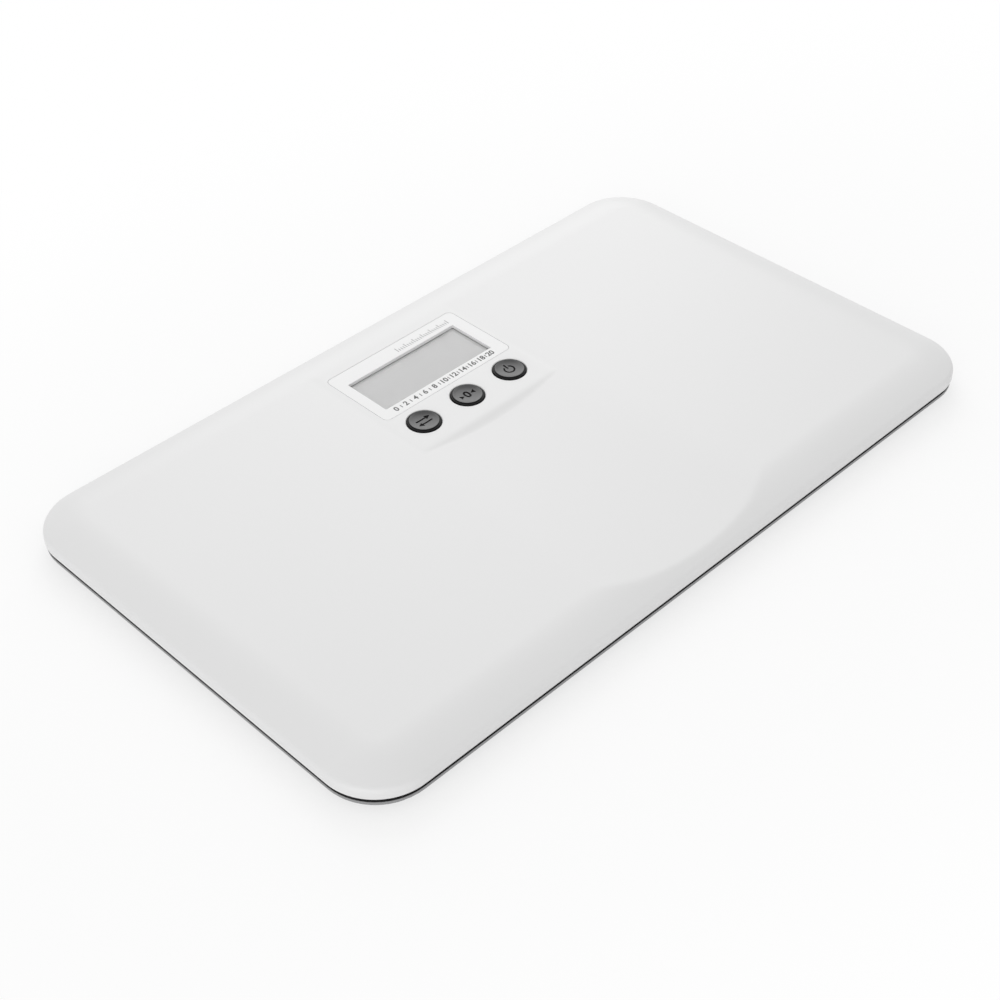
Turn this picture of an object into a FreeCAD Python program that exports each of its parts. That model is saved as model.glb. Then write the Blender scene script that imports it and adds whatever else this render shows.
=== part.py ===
import FreeCAD, Part
import math
import os
import Sketcher

# Flat digital baby weighing scale: a white platform cover over a grey base tray.
# Millimetres.  The origin is on the floor under the middle of the scale, +X runs
# along the long side in the reading direction of the display, +Y runs towards the
# display edge and +Z is up.

SIZES = {
    # platform cover
    "cover_length": 550.0,
    "cover_width": 326.0,
    "corner_radius": 37.2,
    "cover_top": 25.0,
    "rim_gap": 3.0,
    "cover_wall": 2.5,
    "side_round": 4.6,
    "side_round_turn": 65.0,
    "shoulder_round": 64.8,
    # shallow trough down the middle and the level island in it
    "trough_half_width": 71.5,
    "trough_depth": 3.5,
    "trough_edge_round": 60.0,
    "island_margin": 0.9,
    "island_side_run": 14.0,
    "island_front_offset": 69.6,
    "island_front_run": 7.0,
    "cutter_margin": 6.0,
    # display
    "panel_length": 114.0,
    "panel_width": 60.8,
    "panel_corner": 4.0,
    "panel_shift": 0.8,
    "panel_thickness": 0.8,
    "panel_clearance": 0.15,
    "display_inset": 66.0,
    "opening_offset": 1.85,
    "opening_length": 96.4,
    "opening_width": 37.9,
    "opening_corner": 0.6,
    "pane_overlap": 3.0,
    "pane_thickness": 1.0,
    "glass_overlap": 2.0,
    "glass_thickness": 2.8,
    "glass_clearance": 0.2,
    "frame_wall": 2.2,
    "frame_ledge": 4.5,
    "frame_height": 5.1,
    "strip_thickness": 2.4,
    "strip_end_gap": 4.0,
    "strip_clearance": 0.1,
    # buttons
    "button_pitch": 39.2,
    "button_row_offset": 47.5,
    "button_radius": 11.5,
    "button_clearance": 0.25,
    "button_shoulder_height": 0.3,
    "button_ring_height": 0.6,
    "button_ring_radius": 10.0,
    "button_top_radius": 9.6,
    "button_height": 1.2,
    "button_dish": 0.6,
    "button_skin": 1.6,
    "button_flange_radius": 12.8,
    "button_flange_thickness": 0.9,
    "button_flange_gap": 0.1,
    "button_wall": 1.6,
    "button_stem_radius": 3.0,
    "button_travel": 0.8,
    # switches
    "switch_side": 12.0,
    "switch_height": 3.2,
    "switch_floor": 1.0,
    "plunger_radius": 3.5,
    "plunger_clearance": 0.05,
    "plunger_reach": 0.9,
    "plunger_rest_gap": 0.1,
    # circuit board
    "board_length": 124.0,
    "board_width": 90.0,
    "board_corner": 3.0,
    "board_thickness": 1.6,
    "board_offset": 17.0,
    "board_hole_radius": 1.5,
    "board_screw_inset": 4.0,
    "board_boss_radius": 3.0,
    "chip_side": 12.0,
    "chip_thickness": 1.2,
    "chip_place_x": -18.0,
    "chip_offset": 20.0,
    # base tray
    "base_bottom": 5.0,
    "base_inset": 0.6,
    "base_rim_height": 3.2,
    "base_edge_round": 1.75,
    "base_floor": 2.2,
    "lip_clearance": 0.4,
    "lip_thickness": 1.8,
    "lip_top_gap": 0.6,
    "seal_setback": 0.2,
    "seal_clearance": 0.1,
    "rib_thickness": 1.6,
    "tray_rib_height": 1.2,
    "tray_rib_gap": 18.0,
    "cover_rib_depth": 2.3,
    "cover_rib_trough_gap": 26.5,
    "cover_rib_end_gap": 3.0,
    "cover_rib_side_gap": 23.0,
    "cover_rib_bay_gap": 0.6,
    # relief of the tray's underside
    "groove_inset_x": 85.0,
    "groove_inset_y": 78.0,
    "groove_corner": 20.0,
    "groove_width": 2.0,
    "groove_depth": 0.6,
    "bare_field_length": 84.0,
    "bare_field_width": 48.0,
    "bare_field_corner": 3.0,
    "bare_field_depth": 0.3,
    "bare_field_place_x": -100.0,
    # load cells, holders and feet
    "foot_inset_x": 50.0,
    "foot_inset_y": 48.0,
    "land_side": 46.0,
    "land_height": 2.0,
    "foot_hole_radius": 15.0,
    "foot_radius": 14.0,
    "foot_thickness": 4.4,
    "foot_stem_radius": 5.0,
    "pad_radius": 13.0,
    "pad_thickness": 1.2,
    "cell_side": 34.0,
    "cell_thickness": 2.2,
    "cell_slot": 2.0,
    "cell_tongue_width": 12.0,
    "cell_tongue_length": 22.0,
    "cell_clearance": 0.2,
    "holder_height": 6.0,
    "holder_relief_radius": 13.0,
    "holder_relief_depth": 2.0,
    "holder_slot_width": 4.0,
    "holder_slot_height": 2.6,
    "holder_screw_inset": 3.0,
    # screws
    "screw_shaft_radius": 1.3,
    "screw_hole_radius": 1.4,
    "screw_head_radius": 2.5,
    "screw_head_height": 1.8,
    "screw_recess_radius": 1.1,
    "screw_recess_depth": 1.0,
    "holder_screw_length": 9.0,
    "board_screw_length": 6.0,
    "cover_screw_length": 9.0,
    "cover_post_radius": 4.5,
    "cover_post_height": 4.8,
    "cover_boss_radius": 3.5,
    "counterbore_radius": 3.0,
    "counterbore_depth": 4.6,
    "cover_screw_inset": 16.0,
    "cover_screw_inner_x": 60.0,
    "bore_depth_margin": 1.0,
    # battery bay and door
    "bay_trough_gap": 12.0,
    "bay_inset": 103.0,
    "bay_wall": 1.6,
    "bay_roof": 1.5,
    "battery_radius": 5.25,
    "battery_length": 43.7,
    "battery_nub_radius": 1.9,
    "battery_nub_length": 0.8,
    "battery_pitch": 10.9,
    "battery_gap": 0.3,
    "spring_space": 3.6,
    "plate_space": 0.8,
    "contact_thickness": 0.4,
    "contact_width": 6.5,
    "contact_height": 7.0,
    "contact_gap": 0.1,
    "door_thickness": 2.0,
    "door_gap": 0.4,
    "door_latch_zone": 6.0,
    "door_hinge_radius": 1.5,
    "door_pin_radius": 1.0,
    "door_pin_clearance": 0.06,
    "door_pin_reach": 1.0,
    "latch_thickness": 0.8,
    "latch_height": 3.4,
    "latch_width": 12.0,
    "grip_radius": 8.0,
    "grip_depth": 0.9,
    "grip_inset": 7.0,
    "grip_length": 14.0,
    # leads
    "lead_radius": 0.9,
    "lead_joint_gap": 0.1,
    "lead_end_gap": 0.05,
}

SIDES = (("left", -1), ("right", 1))
ENDS = (("front", -1), ("back", 1))
BUTTONS = (("left", -1), ("middle", 0), ("right", 1))
CROSS_RIBS = 4
BATTERIES = (("front", -1), ("middle", 0), ("back", 1))

doc = FreeCAD.newDocument("baby_scale")
sheet = doc.addObject("Spreadsheet::Sheet", "Sizes")
pieces = []


class Size:
    """A measurement that knows its value and its spreadsheet formula."""

    def __init__(self, value, formula):
        self.value = value
        self.formula = formula

    def joined(self, other, sign, value):
        return Size(value, "(%s %s %s)" % (self.formula, sign, other.formula))

    def __add__(self, other):
        other = sized(other)
        return self.joined(other, "+", self.value + other.value)

    def __sub__(self, other):
        other = sized(other)
        return self.joined(other, "-", self.value - other.value)

    def __mul__(self, other):
        other = sized(other)
        return self.joined(other, "*", self.value * other.value)

    def __truediv__(self, other):
        other = sized(other)
        return self.joined(other, "/", self.value / other.value)

    def __rsub__(self, other):
        return sized(other) - self

    def __neg__(self):
        return sized(0) - self

    __radd__ = __add__
    __rmul__ = __mul__


def sized(number):
    return number if isinstance(number, Size) else Size(float(number), "(%s)" % number)


def root(size):
    return Size(math.sqrt(size.value), "sqrt(%s)" % size.formula)


def sine(degrees):
    return Size(math.sin(math.radians(degrees.value)), "sin(%s * 1 deg)" % degrees.formula)


def cosine(degrees):
    return Size(math.cos(math.radians(degrees.value)), "cos(%s * 1 deg)" % degrees.formula)


class Sheet:
    """Every driving size as an attribute, bound to its cell."""


def fill_sheet():
    sizes = Sheet()
    for row, (name, value) in enumerate(SIZES.items(), start=1):
        sheet.set("A%d" % row, name)
        sheet.set("B%d" % row, str(value))
        sheet.setAlias("B%d" % row, name)
        setattr(sizes, name, Size(value, "Sizes.%s" % name))
    doc.recompute()
    return sizes


S = fill_sheet()
ZERO = sized(0)

# Levels and sizes that several pieces share.
PLATE_UNDERSIDE = S.cover_top - S.cover_wall
SHOULDER_INSET = S.side_round * (1 - cosine(S.side_round_turn)) + S.shoulder_round * cosine(S.side_round_turn)
SHOULDER_RISE = S.side_round * sine(S.side_round_turn) + S.shoulder_round * (1 - sine(S.side_round_turn))
SIDE_TOP = S.cover_top - SHOULDER_RISE
RIM_TOP = S.base_bottom + S.base_rim_height
COVER_EDGE = RIM_TOP + S.rim_gap
FLOOR_TOP = S.base_bottom + S.base_floor
LAND_TOP = FLOOR_TOP + S.land_height
CELL_TOP = LAND_TOP + S.cell_thickness
HOLDER_TOP = LAND_TOP + S.holder_height
POST_TOP = FLOOR_TOP + S.cover_post_height
PANE_BOTTOM = PLATE_UNDERSIDE - S.pane_thickness
BOARD_TOP = PANE_BOTTOM - S.frame_height
BOARD_BOTTOM = BOARD_TOP - S.board_thickness
GLASS_LENGTH = S.opening_length + 2 * S.glass_overlap
GLASS_WIDTH = S.opening_width + 2 * S.glass_overlap
GLASS_BOTTOM = PANE_BOTTOM - S.glass_thickness
SWITCH_TOP = BOARD_TOP + S.switch_height
PLUNGER_TOP = SWITCH_TOP + S.plunger_reach
LIP_TOP = SIDE_TOP - S.lip_top_gap
LIP_OUTSIDE = S.cover_wall + S.lip_clearance
LIP_INSIDE = LIP_OUTSIDE + S.lip_thickness
DISPLAY_Y = S.cover_width / 2 - S.display_inset
OPENING_Y = DISPLAY_Y - S.opening_offset
BUTTON_Y = DISPLAY_Y - S.button_row_offset
BOARD_Y = DISPLAY_Y - S.board_offset
ISLAND_FRONT = DISPLAY_Y - S.island_front_offset
ISLAND_HALF_WIDTH = S.panel_length / 2 + S.panel_clearance + S.island_margin
FOOT_X = S.cover_length / 2 - S.foot_inset_x
FOOT_Y = S.cover_width / 2 - S.foot_inset_y
HOLDER_SCREW_REACH = S.land_side / 2 - S.holder_screw_inset
BAY_X = S.trough_half_width + S.bay_trough_gap
BAY_Y = S.bay_inset - S.cover_width / 2
BAY_LENGTH = S.spring_space + S.battery_length + S.battery_nub_length + S.plate_space
BAY_WIDTH = 2 * S.battery_pitch + 2 * S.battery_radius + 2 * S.battery_gap
DOOR_TOP = S.base_bottom + S.door_thickness
BATTERY_LEVEL = DOOR_TOP + S.battery_gap + S.battery_radius
BAY_CEILING = BATTERY_LEVEL + S.battery_radius + S.battery_gap
BAY_TOP = BAY_CEILING + S.bay_roof
DOOR_OPENING = BAY_LENGTH + S.bay_wall + S.door_latch_zone
HINGE_X = BAY_X + S.door_gap + S.door_hinge_radius
HINGE_Z = S.base_bottom + S.door_hinge_radius


# ---------------------------------------------------------------- helpers

def place(thing, x=ZERO, y=ZERO, z=ZERO, rotation=None):
    if rotation is not None:
        thing.Placement = FreeCAD.Placement(FreeCAD.Vector(0, 0, 0), rotation)
    for letter, size in (("x", x), ("y", y), ("z", z)):
        thing.setExpression("Placement.Base.%s" % letter, sized(size).formula)
    return thing


def box(length, width, height, x, y, z):
    """A block centred on x and y that stands on level z."""
    block = doc.addObject("Part::Box", "block")
    block.setExpression("Length", sized(length).formula)
    block.setExpression("Width", sized(width).formula)
    block.setExpression("Height", sized(height).formula)
    return place(block, x - sized(length) / 2, y - sized(width) / 2, sized(z))


def rod(radius, height, x, y, z, rotation=None):
    """A round bar that starts at a point and runs up, or along a turned axis."""
    bar = doc.addObject("Part::Cylinder", "bar")
    bar.setExpression("Radius", sized(radius).formula)
    bar.setExpression("Height", sized(height).formula)
    return place(bar, x, y, z, rotation)


def fuse(things):
    joined = doc.addObject("Part::MultiFuse", "joined")
    joined.Shapes = list(things)
    return joined


def cut(base, things):
    trimmed = doc.addObject("Part::Cut", "trimmed")
    trimmed.Base = base
    trimmed.Tool = things[0] if len(things) == 1 else fuse(things)
    return trimmed


def group(things):
    gathered = doc.addObject("Part::Compound", "gathered")
    gathered.Links = list(things)
    return gathered


def piece(label, thing):
    """Keeps a finished sub-part under the name of its file."""
    thing.Label = label
    pieces.append(thing)
    return thing


def new_body(name):
    return doc.addObject("PartDesign::Body", name)


def outline(body, role, corners, level=ZERO):
    """A sketch whose corners are bound to the sheet.

    A corner is (x, y) before a straight edge, or (x, y, centre x, centre y, radius, turn)
    before an arc, with turn 1 for anticlockwise and -1 for clockwise."""
    plane = [face for face in body.Origin.OriginFeatures if face.Role == role][0]
    sketch = body.newObject("Sketcher::SketchObject", "outline")
    sketch.AttachmentSupport = [(plane, "")]
    sketch.MapMode = "FlatFace"
    sketch.setExpression("AttachmentOffset.Base.z", sized(level).formula)
    add_loop(sketch, corners)
    return sketch


def add_loop(sketch, corners):
    """Draws a closed loop of straight edges and arcs and binds its corners and radii."""
    spots = [FreeCAD.Vector(sized(corner[0]).value, sized(corner[1]).value, 0) for corner in corners]
    edges = []
    for start, end, corner in zip(spots, spots[1:] + spots[:1], corners):
        if len(corner) == 2:
            edges.append((sketch.addGeometry(Part.LineSegment(start, end), False), 1, 2))
        else:
            centre = FreeCAD.Vector(corner[2].value, corner[3].value, 0)
            low, high = (start, end) if corner[5] > 0 else (end, start)
            first, last = (1, 2) if corner[5] > 0 else (2, 1)
            angles = [math.atan2(spot.y - centre.y, spot.x - centre.x) for spot in (low, high)]
            if angles[1] < angles[0]:
                angles[1] += 2 * math.pi
            circle = Part.Circle(centre, FreeCAD.Vector(0, 0, 1), corner[4].value)
            arc = Part.ArcOfCircle(circle, angles[0], angles[1])
            edges.append((sketch.addGeometry(arc, False), first, last))
    for (edge, _, last), (follower, first, _) in zip(edges, edges[1:] + edges[:1]):
        sketch.addConstraint(Sketcher.Constraint("Coincident", edge, last, follower, first))
    for corner, (edge, first, _) in zip(corners, edges):
        for kind, size in (("DistanceX", sized(corner[0])), ("DistanceY", sized(corner[1]))):
            bind(sketch, Sketcher.Constraint(kind, -1, 1, edge, first, size.value), size)
        if len(corner) > 2:
            bind(sketch, Sketcher.Constraint("Radius", edge, corner[4].value), corner[4])


def bind(sketch, constraint, size):
    number = sketch.addConstraint(constraint)
    sketch.setExpression("Constraints[%d]" % number, size.formula)


def add_circle(sketch, x, y, radius):
    x, y, radius = sized(x), sized(y), sized(radius)
    centre = FreeCAD.Vector(x.value, y.value, 0)
    edge = sketch.addGeometry(Part.Circle(centre, FreeCAD.Vector(0, 0, 1), radius.value), False)
    bind(sketch, Sketcher.Constraint("DistanceX", -1, 1, edge, 3, x.value), x)
    bind(sketch, Sketcher.Constraint("DistanceY", -1, 1, edge, 3, y.value), y)
    bind(sketch, Sketcher.Constraint("Radius", edge, radius.value), radius)


def rectangle(length, width, x=ZERO, y=ZERO):
    left, right = x - length / 2, x + length / 2
    front, back = y - width / 2, y + width / 2
    return [(left, front), (right, front), (right, back), (left, back)]


def rounded(length, width, radius, x=ZERO, y=ZERO):
    left, right = x - length / 2, x + length / 2
    front, back = y - width / 2, y + width / 2
    near_left, near_right = left + radius, right - radius
    near_front, near_back = front + radius, back - radius
    return [
        (near_left, front),
        (near_right, front, near_right, near_front, radius, 1),
        (right, near_front),
        (right, near_back, near_right, near_back, radius, 1),
        (near_right, back),
        (near_left, back, near_left, near_back, radius, 1),
        (left, near_back),
        (left, near_front, near_left, near_front, radius, 1),
    ]


def pad(body, sketch, length, symmetric=False):
    grown = body.newObject("PartDesign::Pad", "pad")
    grown.Profile = sketch
    grown.setExpression("Length", sized(length).formula)
    if symmetric:
        grown.Midplane = True
    return grown


def slab(corners, level, height):
    """A flat piece: one outline on level, padded up."""
    body = new_body("slab")
    pad(body, outline(body, "XY_Plane", corners, level), height)
    return body


def turned(corners, x, y, z=ZERO):
    """A round piece: half a section in the XZ plane, turned about its own axis."""
    body = new_body("turned")
    sketch = outline(body, "XZ_Plane", corners)
    spin = body.newObject("PartDesign::Revolution", "turn")
    spin.Profile = sketch
    spin.ReferenceAxis = (sketch, ["V_Axis"])
    spin.Angle = 360.0
    return place(body, x, y, z)


# ---------------------------------------------------------------- platform cover

def shoulder_section(wall):
    """Wall, small side round and wide shoulder, from the front side inwards."""
    side = -S.cover_width / 2 + wall
    side_round, shoulder_round = S.side_round - wall, S.shoulder_round - wall
    side_centre = -S.cover_width / 2 + S.side_round
    shoulder_centre = -S.cover_width / 2 + SHOULDER_INSET
    meet_y = side_centre - side_round * cosine(S.side_round_turn)
    meet_z = SIDE_TOP + side_round * sine(S.side_round_turn)
    shoulder_level = S.cover_top - S.shoulder_round
    return [
        (side, COVER_EDGE),
        (side, SIDE_TOP, side_centre, SIDE_TOP, side_round, -1),
        (meet_y, meet_z, shoulder_centre, shoulder_level, shoulder_round, -1),
        (shoulder_centre, S.cover_top - wall),
        (shoulder_centre, COVER_EDGE),
    ]


def dome(wall):
    """The solid under the cover's outside, or under its inside with the wall taken off."""
    body = new_body("dome")
    path = outline(body, "XY_Plane", rounded(S.cover_length, S.cover_width, S.corner_radius))
    section_place = -S.cover_length / 2 + S.corner_radius
    section = outline(body, "YZ_Plane", shoulder_section(wall), section_place)
    rim = body.newObject("PartDesign::AdditivePipe", "rim")
    rim.Profile = section
    rim.Spine = path
    middle = rounded(S.cover_length - 2 * SHOULDER_INSET, S.cover_width - 2 * SHOULDER_INSET,
                     S.corner_radius - SHOULDER_INSET)
    pad(body, outline(body, "XY_Plane", middle, COVER_EDGE), S.cover_top - wall - COVER_EDGE)
    return body


def trough_section(wall):
    """Concave middle with a convex round along each side, closed above the cover."""
    half, depth, edge = S.trough_half_width, S.trough_depth, S.trough_edge_round
    span = (half * half + depth * depth) / (2 * depth)
    hollow = span - edge
    crest = S.cover_top - wall
    edge_round, hollow_round = edge - wall, hollow + wall
    edge_centre_z = S.cover_top - edge
    hollow_centre_z = S.cover_top - depth + hollow
    meet_x = half - edge_round * half / span
    meet_z = edge_centre_z + edge_round * (span - depth) / span
    ceiling = S.cover_top + S.cutter_margin
    return [
        (-half, crest, -half, edge_centre_z, edge_round, -1),
        (-meet_x, meet_z, ZERO, hollow_centre_z, hollow_round, 1),
        (meet_x, meet_z, half, edge_centre_z, edge_round, -1),
        (half, crest),
        (half, ceiling),
        (-half, ceiling),
    ]


def island_edge(edge, run, wall):
    """Where a sloped face of the island, moved inwards by the wall, meets the crest and the foot."""
    slope_length = root(run * run + S.trough_depth * S.trough_depth)
    crest_edge = edge + wall * (slope_length - run) / S.trough_depth
    return crest_edge, crest_edge - run


def island_side_view(wall):
    """The level island from the side, with its sloped front face."""
    crest = S.cover_top - wall
    foot = crest - S.trough_depth
    front, front_foot = island_edge(ISLAND_FRONT, S.island_front_run, wall)
    back = S.cover_width / 2 + S.cutter_margin
    return [
        (front, crest + 2 * S.cutter_margin),
        (front, crest),
        (front_foot, foot),
        (front_foot, foot - S.cutter_margin),
        (back, foot - S.cutter_margin),
        (back, crest + 2 * S.cutter_margin),
    ]


def island_front_view(wall):
    """The level island from the front, with a gentle slope down each side."""
    crest = S.cover_top - wall
    foot = crest - S.trough_depth
    side, side_foot = island_edge(-ISLAND_HALF_WIDTH, S.island_side_run, wall)
    return [
        (side, crest + 2 * S.cutter_margin),
        (side, crest),
        (side_foot, foot),
        (side_foot, foot - S.cutter_margin),
        (-side_foot, foot - S.cutter_margin),
        (-side_foot, foot),
        (-side, crest),
        (-side, crest + 2 * S.cutter_margin),
    ]


def prism(role, corners, length):
    body = new_body("prism")
    pad(body, outline(body, role, corners), length, symmetric=True)
    return body


def trough_cutter(wall):
    trough = prism("XZ_Plane", trough_section(wall), S.cover_width + 2 * S.cutter_margin)
    island = doc.addObject("Part::MultiCommon", "island")
    island.Shapes = [
        prism("YZ_Plane", island_side_view(wall), 4 * ISLAND_HALF_WIDTH),
        prism("XZ_Plane", island_front_view(wall), S.cover_width + 4 * S.cutter_margin),
    ]
    return cut(trough, [island])


def cover_screw_spots():
    """Three screws to each corner: one on the short side and two on the long side."""
    side_x = S.cover_length / 2 - S.cover_screw_inset
    edge_y = S.cover_width / 2 - S.cover_screw_inset
    spots = []
    for _, x_side in SIDES:
        for _, y_side in ENDS:
            spots.append((x_side * side_x, y_side * FOOT_Y / 2))
            spots.append((x_side * S.cover_screw_inner_x, y_side * edge_y))
            spots.append((x_side * (S.cover_screw_inner_x + FOOT_X) / 2, y_side * edge_y))
    return spots


def board_screw_spots():
    reach_x = S.board_length / 2 - S.board_screw_inset
    reach_y = S.board_width / 2 - S.board_screw_inset
    spots = []
    for _, x_side in SIDES:
        for _, y_side in ENDS:
            spots.append((x_side * reach_x, BOARD_Y + y_side * reach_y))
    return spots


def button_spots():
    return [(name, side * S.button_pitch) for name, side in BUTTONS]


def cover_bosses():
    bosses = []
    for x, y in cover_screw_spots():
        bosses.append(rod(S.cover_boss_radius, S.cover_top - POST_TOP, x, y, POST_TOP))
    for x, y in board_screw_spots():
        bosses.append(rod(S.board_boss_radius, S.cover_top - BOARD_TOP, x, y, BOARD_TOP))
    return bosses


def cover_ribs():
    """Stiffening ribs under both wings of the plate, cut away over the battery bay."""
    ribs = []
    depth = S.cover_rib_depth + S.cover_wall
    bottom = PLATE_UNDERSIDE - S.cover_rib_depth
    start = S.trough_half_width + S.cover_rib_trough_gap
    end = S.cover_length / 2 - SHOULDER_INSET - S.cover_rib_end_gap
    pitch = (end - start) / (CROSS_RIBS - 1)
    length = S.cover_width - 2 * SHOULDER_INSET - 2 * S.cover_rib_side_gap
    for _, side in SIDES:
        for step in range(CROSS_RIBS):
            ribs.append(box(S.rib_thickness, length, depth, side * (start + step * pitch), ZERO, bottom))
        for line in (-1, 0, 1):
            y = line * length / 4
            ribs.append(box(end - start, S.rib_thickness, depth, side * (start + end) / 2, y, bottom))
    relief = box(BAY_LENGTH + 2 * S.bay_wall + 2 * S.cover_rib_bay_gap,
                 BAY_WIDTH + 2 * S.bay_wall + 2 * S.cover_rib_bay_gap,
                 S.bay_roof + S.cover_rib_bay_gap, bay_middle(), BAY_Y, BAY_CEILING)
    return [cut(fuse(ribs), [relief])]


def cover_bores():
    bores = []
    for x, y in cover_screw_spots():
        length = S.cover_screw_length + S.bore_depth_margin - screw_grip_cover()
        bores.append(rod(S.screw_hole_radius, length, x, y, POST_TOP))
    for x, y in board_screw_spots():
        length = S.board_screw_length + S.bore_depth_margin - S.board_thickness
        bores.append(rod(S.screw_hole_radius, length, x, y, BOARD_TOP))
    return bores


def screw_grip_cover():
    """Length of a cover screw that lies inside the tray's post."""
    return POST_TOP - S.base_bottom - S.counterbore_depth


def make_top_cover():
    outside = cut(dome(ZERO), [trough_cutter(ZERO)])
    inside = cut(dome(S.cover_wall), [trough_cutter(S.cover_wall)] + cover_bosses() + cover_ribs())
    recess = slab(rounded(S.panel_length + 2 * S.panel_clearance, S.panel_width + 2 * S.panel_clearance,
                          S.panel_corner + S.panel_clearance, S.panel_shift, DISPLAY_Y),
                  S.cover_top - S.panel_thickness, S.cutter_margin)
    opening = slab(rounded(S.opening_length, S.opening_width, S.opening_corner, ZERO, OPENING_Y),
                   PLATE_UNDERSIDE - S.cutter_margin / 2, 2 * S.cutter_margin)
    holes = [rod(S.button_radius + S.button_clearance, 2 * S.cutter_margin, x, BUTTON_Y,
                 PLATE_UNDERSIDE - S.cutter_margin / 2) for _, x in button_spots()]
    piece("top_cover", cut(outside, [inside, recess, opening] + holes + cover_bores()))


# ---------------------------------------------------------------- display

def make_display_panel():
    body = new_body("panel")
    level = S.cover_top - S.panel_thickness
    edge = rounded(S.panel_length, S.panel_width, S.panel_corner, S.panel_shift, DISPLAY_Y)
    sketch = outline(body, "XY_Plane", edge, level)
    add_loop(sketch, rounded(S.opening_length, S.opening_width, S.opening_corner, ZERO, OPENING_Y))
    pad(body, sketch, S.panel_thickness)
    piece("display_panel", body)


def make_display_window():
    pane = rectangle(S.opening_length + 2 * S.pane_overlap, S.opening_width + 2 * S.pane_overlap,
                     ZERO, OPENING_Y)
    piece("display_window", slab(pane, PANE_BOTTOM, S.pane_thickness))


def make_lcd_glass():
    glass = rectangle(GLASS_LENGTH, GLASS_WIDTH, ZERO, OPENING_Y)
    piece("lcd_glass", slab(glass, GLASS_BOTTOM, S.glass_thickness))


def make_lcd_frame():
    """Open frame on the board: a wall round the glass and a ledge under it."""
    body = new_body("frame")
    nest_length = GLASS_LENGTH + 2 * S.glass_clearance
    nest_width = GLASS_WIDTH + 2 * S.glass_clearance
    length, width = nest_length + 2 * S.frame_wall, nest_width + 2 * S.frame_wall
    lower = outline(body, "XY_Plane", rectangle(length, width, ZERO, OPENING_Y), BOARD_TOP)
    add_loop(lower, rectangle(nest_length - 2 * S.frame_ledge, nest_width - 2 * S.frame_ledge,
                              ZERO, OPENING_Y))
    pad(body, lower, GLASS_BOTTOM - BOARD_TOP)
    upper = outline(body, "XY_Plane", rectangle(length, width, ZERO, OPENING_Y), GLASS_BOTTOM)
    add_loop(upper, rectangle(nest_length, nest_width, ZERO, OPENING_Y))
    pad(body, upper, S.glass_thickness)
    piece("lcd_frame", body)


def make_contact_strip():
    """Rubber contact strip squeezed between the board and the glass, inside the ledge."""
    ledge_front = OPENING_Y - GLASS_WIDTH / 2 - S.glass_clearance + S.frame_ledge
    middle = ledge_front + S.strip_clearance + S.strip_thickness / 2
    length = GLASS_LENGTH - 2 * S.frame_ledge - 2 * S.strip_end_gap
    piece("lcd_contact_strip",
          box(length, S.strip_thickness, GLASS_BOTTOM - BOARD_TOP, ZERO, middle, BOARD_TOP))


# ---------------------------------------------------------------- board and buttons

def make_circuit_board():
    body = new_body("board")
    edge = rounded(S.board_length, S.board_width, S.board_corner, ZERO, BOARD_Y)
    sketch = outline(body, "XY_Plane", edge, BOARD_BOTTOM)
    for x, y in board_screw_spots():
        add_circle(sketch, x, y, S.board_hole_radius)
    pad(body, sketch, S.board_thickness)
    piece("circuit_board", body)
    piece("controller_chip", box(S.chip_side, S.chip_side, S.chip_thickness, S.chip_place_x,
                                 BOARD_Y + S.chip_offset, BOARD_BOTTOM - S.chip_thickness))


def button_section():
    """Half a section of a cap: flange, dark ring, step, dished top and hollow underside."""
    top = S.cover_top + S.button_height
    flange_top = PLATE_UNDERSIDE - S.button_flange_gap
    flange_bottom = flange_top - S.button_flange_thickness
    roof = top - S.button_skin
    inner = S.button_radius - S.button_wall
    return [
        (ZERO, PLUNGER_TOP),
        (S.button_stem_radius, PLUNGER_TOP),
        (S.button_stem_radius, roof),
        (inner, roof),
        (inner, flange_bottom),
        (S.button_flange_radius, flange_bottom),
        (S.button_flange_radius, flange_top),
        (S.button_radius, flange_top),
        (S.button_radius, S.cover_top + S.button_shoulder_height),
        (S.button_ring_radius, S.cover_top + S.button_ring_height),
        (S.button_top_radius, top),
        (ZERO, top - S.button_dish),
    ]


def make_buttons():
    for name, x in button_spots():
        piece("button_cap_" + name, turned(button_section(), x, BUTTON_Y))
        shell = box(S.switch_side, S.switch_side, S.switch_height, x, BUTTON_Y, BOARD_TOP)
        bore = rod(S.plunger_radius + S.plunger_clearance, S.switch_height, x, BUTTON_Y,
                   BOARD_TOP + S.switch_floor)
        piece("switch_body_" + name, cut(shell, [bore]))
        foot = BOARD_TOP + S.switch_floor + S.button_travel + S.plunger_rest_gap
        piece("switch_plunger_" + name,
              rod(S.plunger_radius, PLUNGER_TOP - foot, x, BUTTON_Y, foot))


# ---------------------------------------------------------------- base tray

def foot_spots():
    spots = []
    for end, y_side in ENDS:
        for side, x_side in SIDES:
            spots.append((end + "_" + side, x_side * FOOT_X, y_side * FOOT_Y, x_side))
    return spots


def holder_screw_spots():
    """Two screws on one diagonal of each cell holder."""
    spots = []
    for _, x, y, _ in foot_spots():
        for corner in (-1, 1):
            spots.append((x + corner * HOLDER_SCREW_REACH, y + corner * HOLDER_SCREW_REACH))
    return spots


def ring(inset):
    """The cover's outline moved inwards."""
    return rounded(S.cover_length - 2 * inset, S.cover_width - 2 * inset, S.corner_radius - inset)


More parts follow.
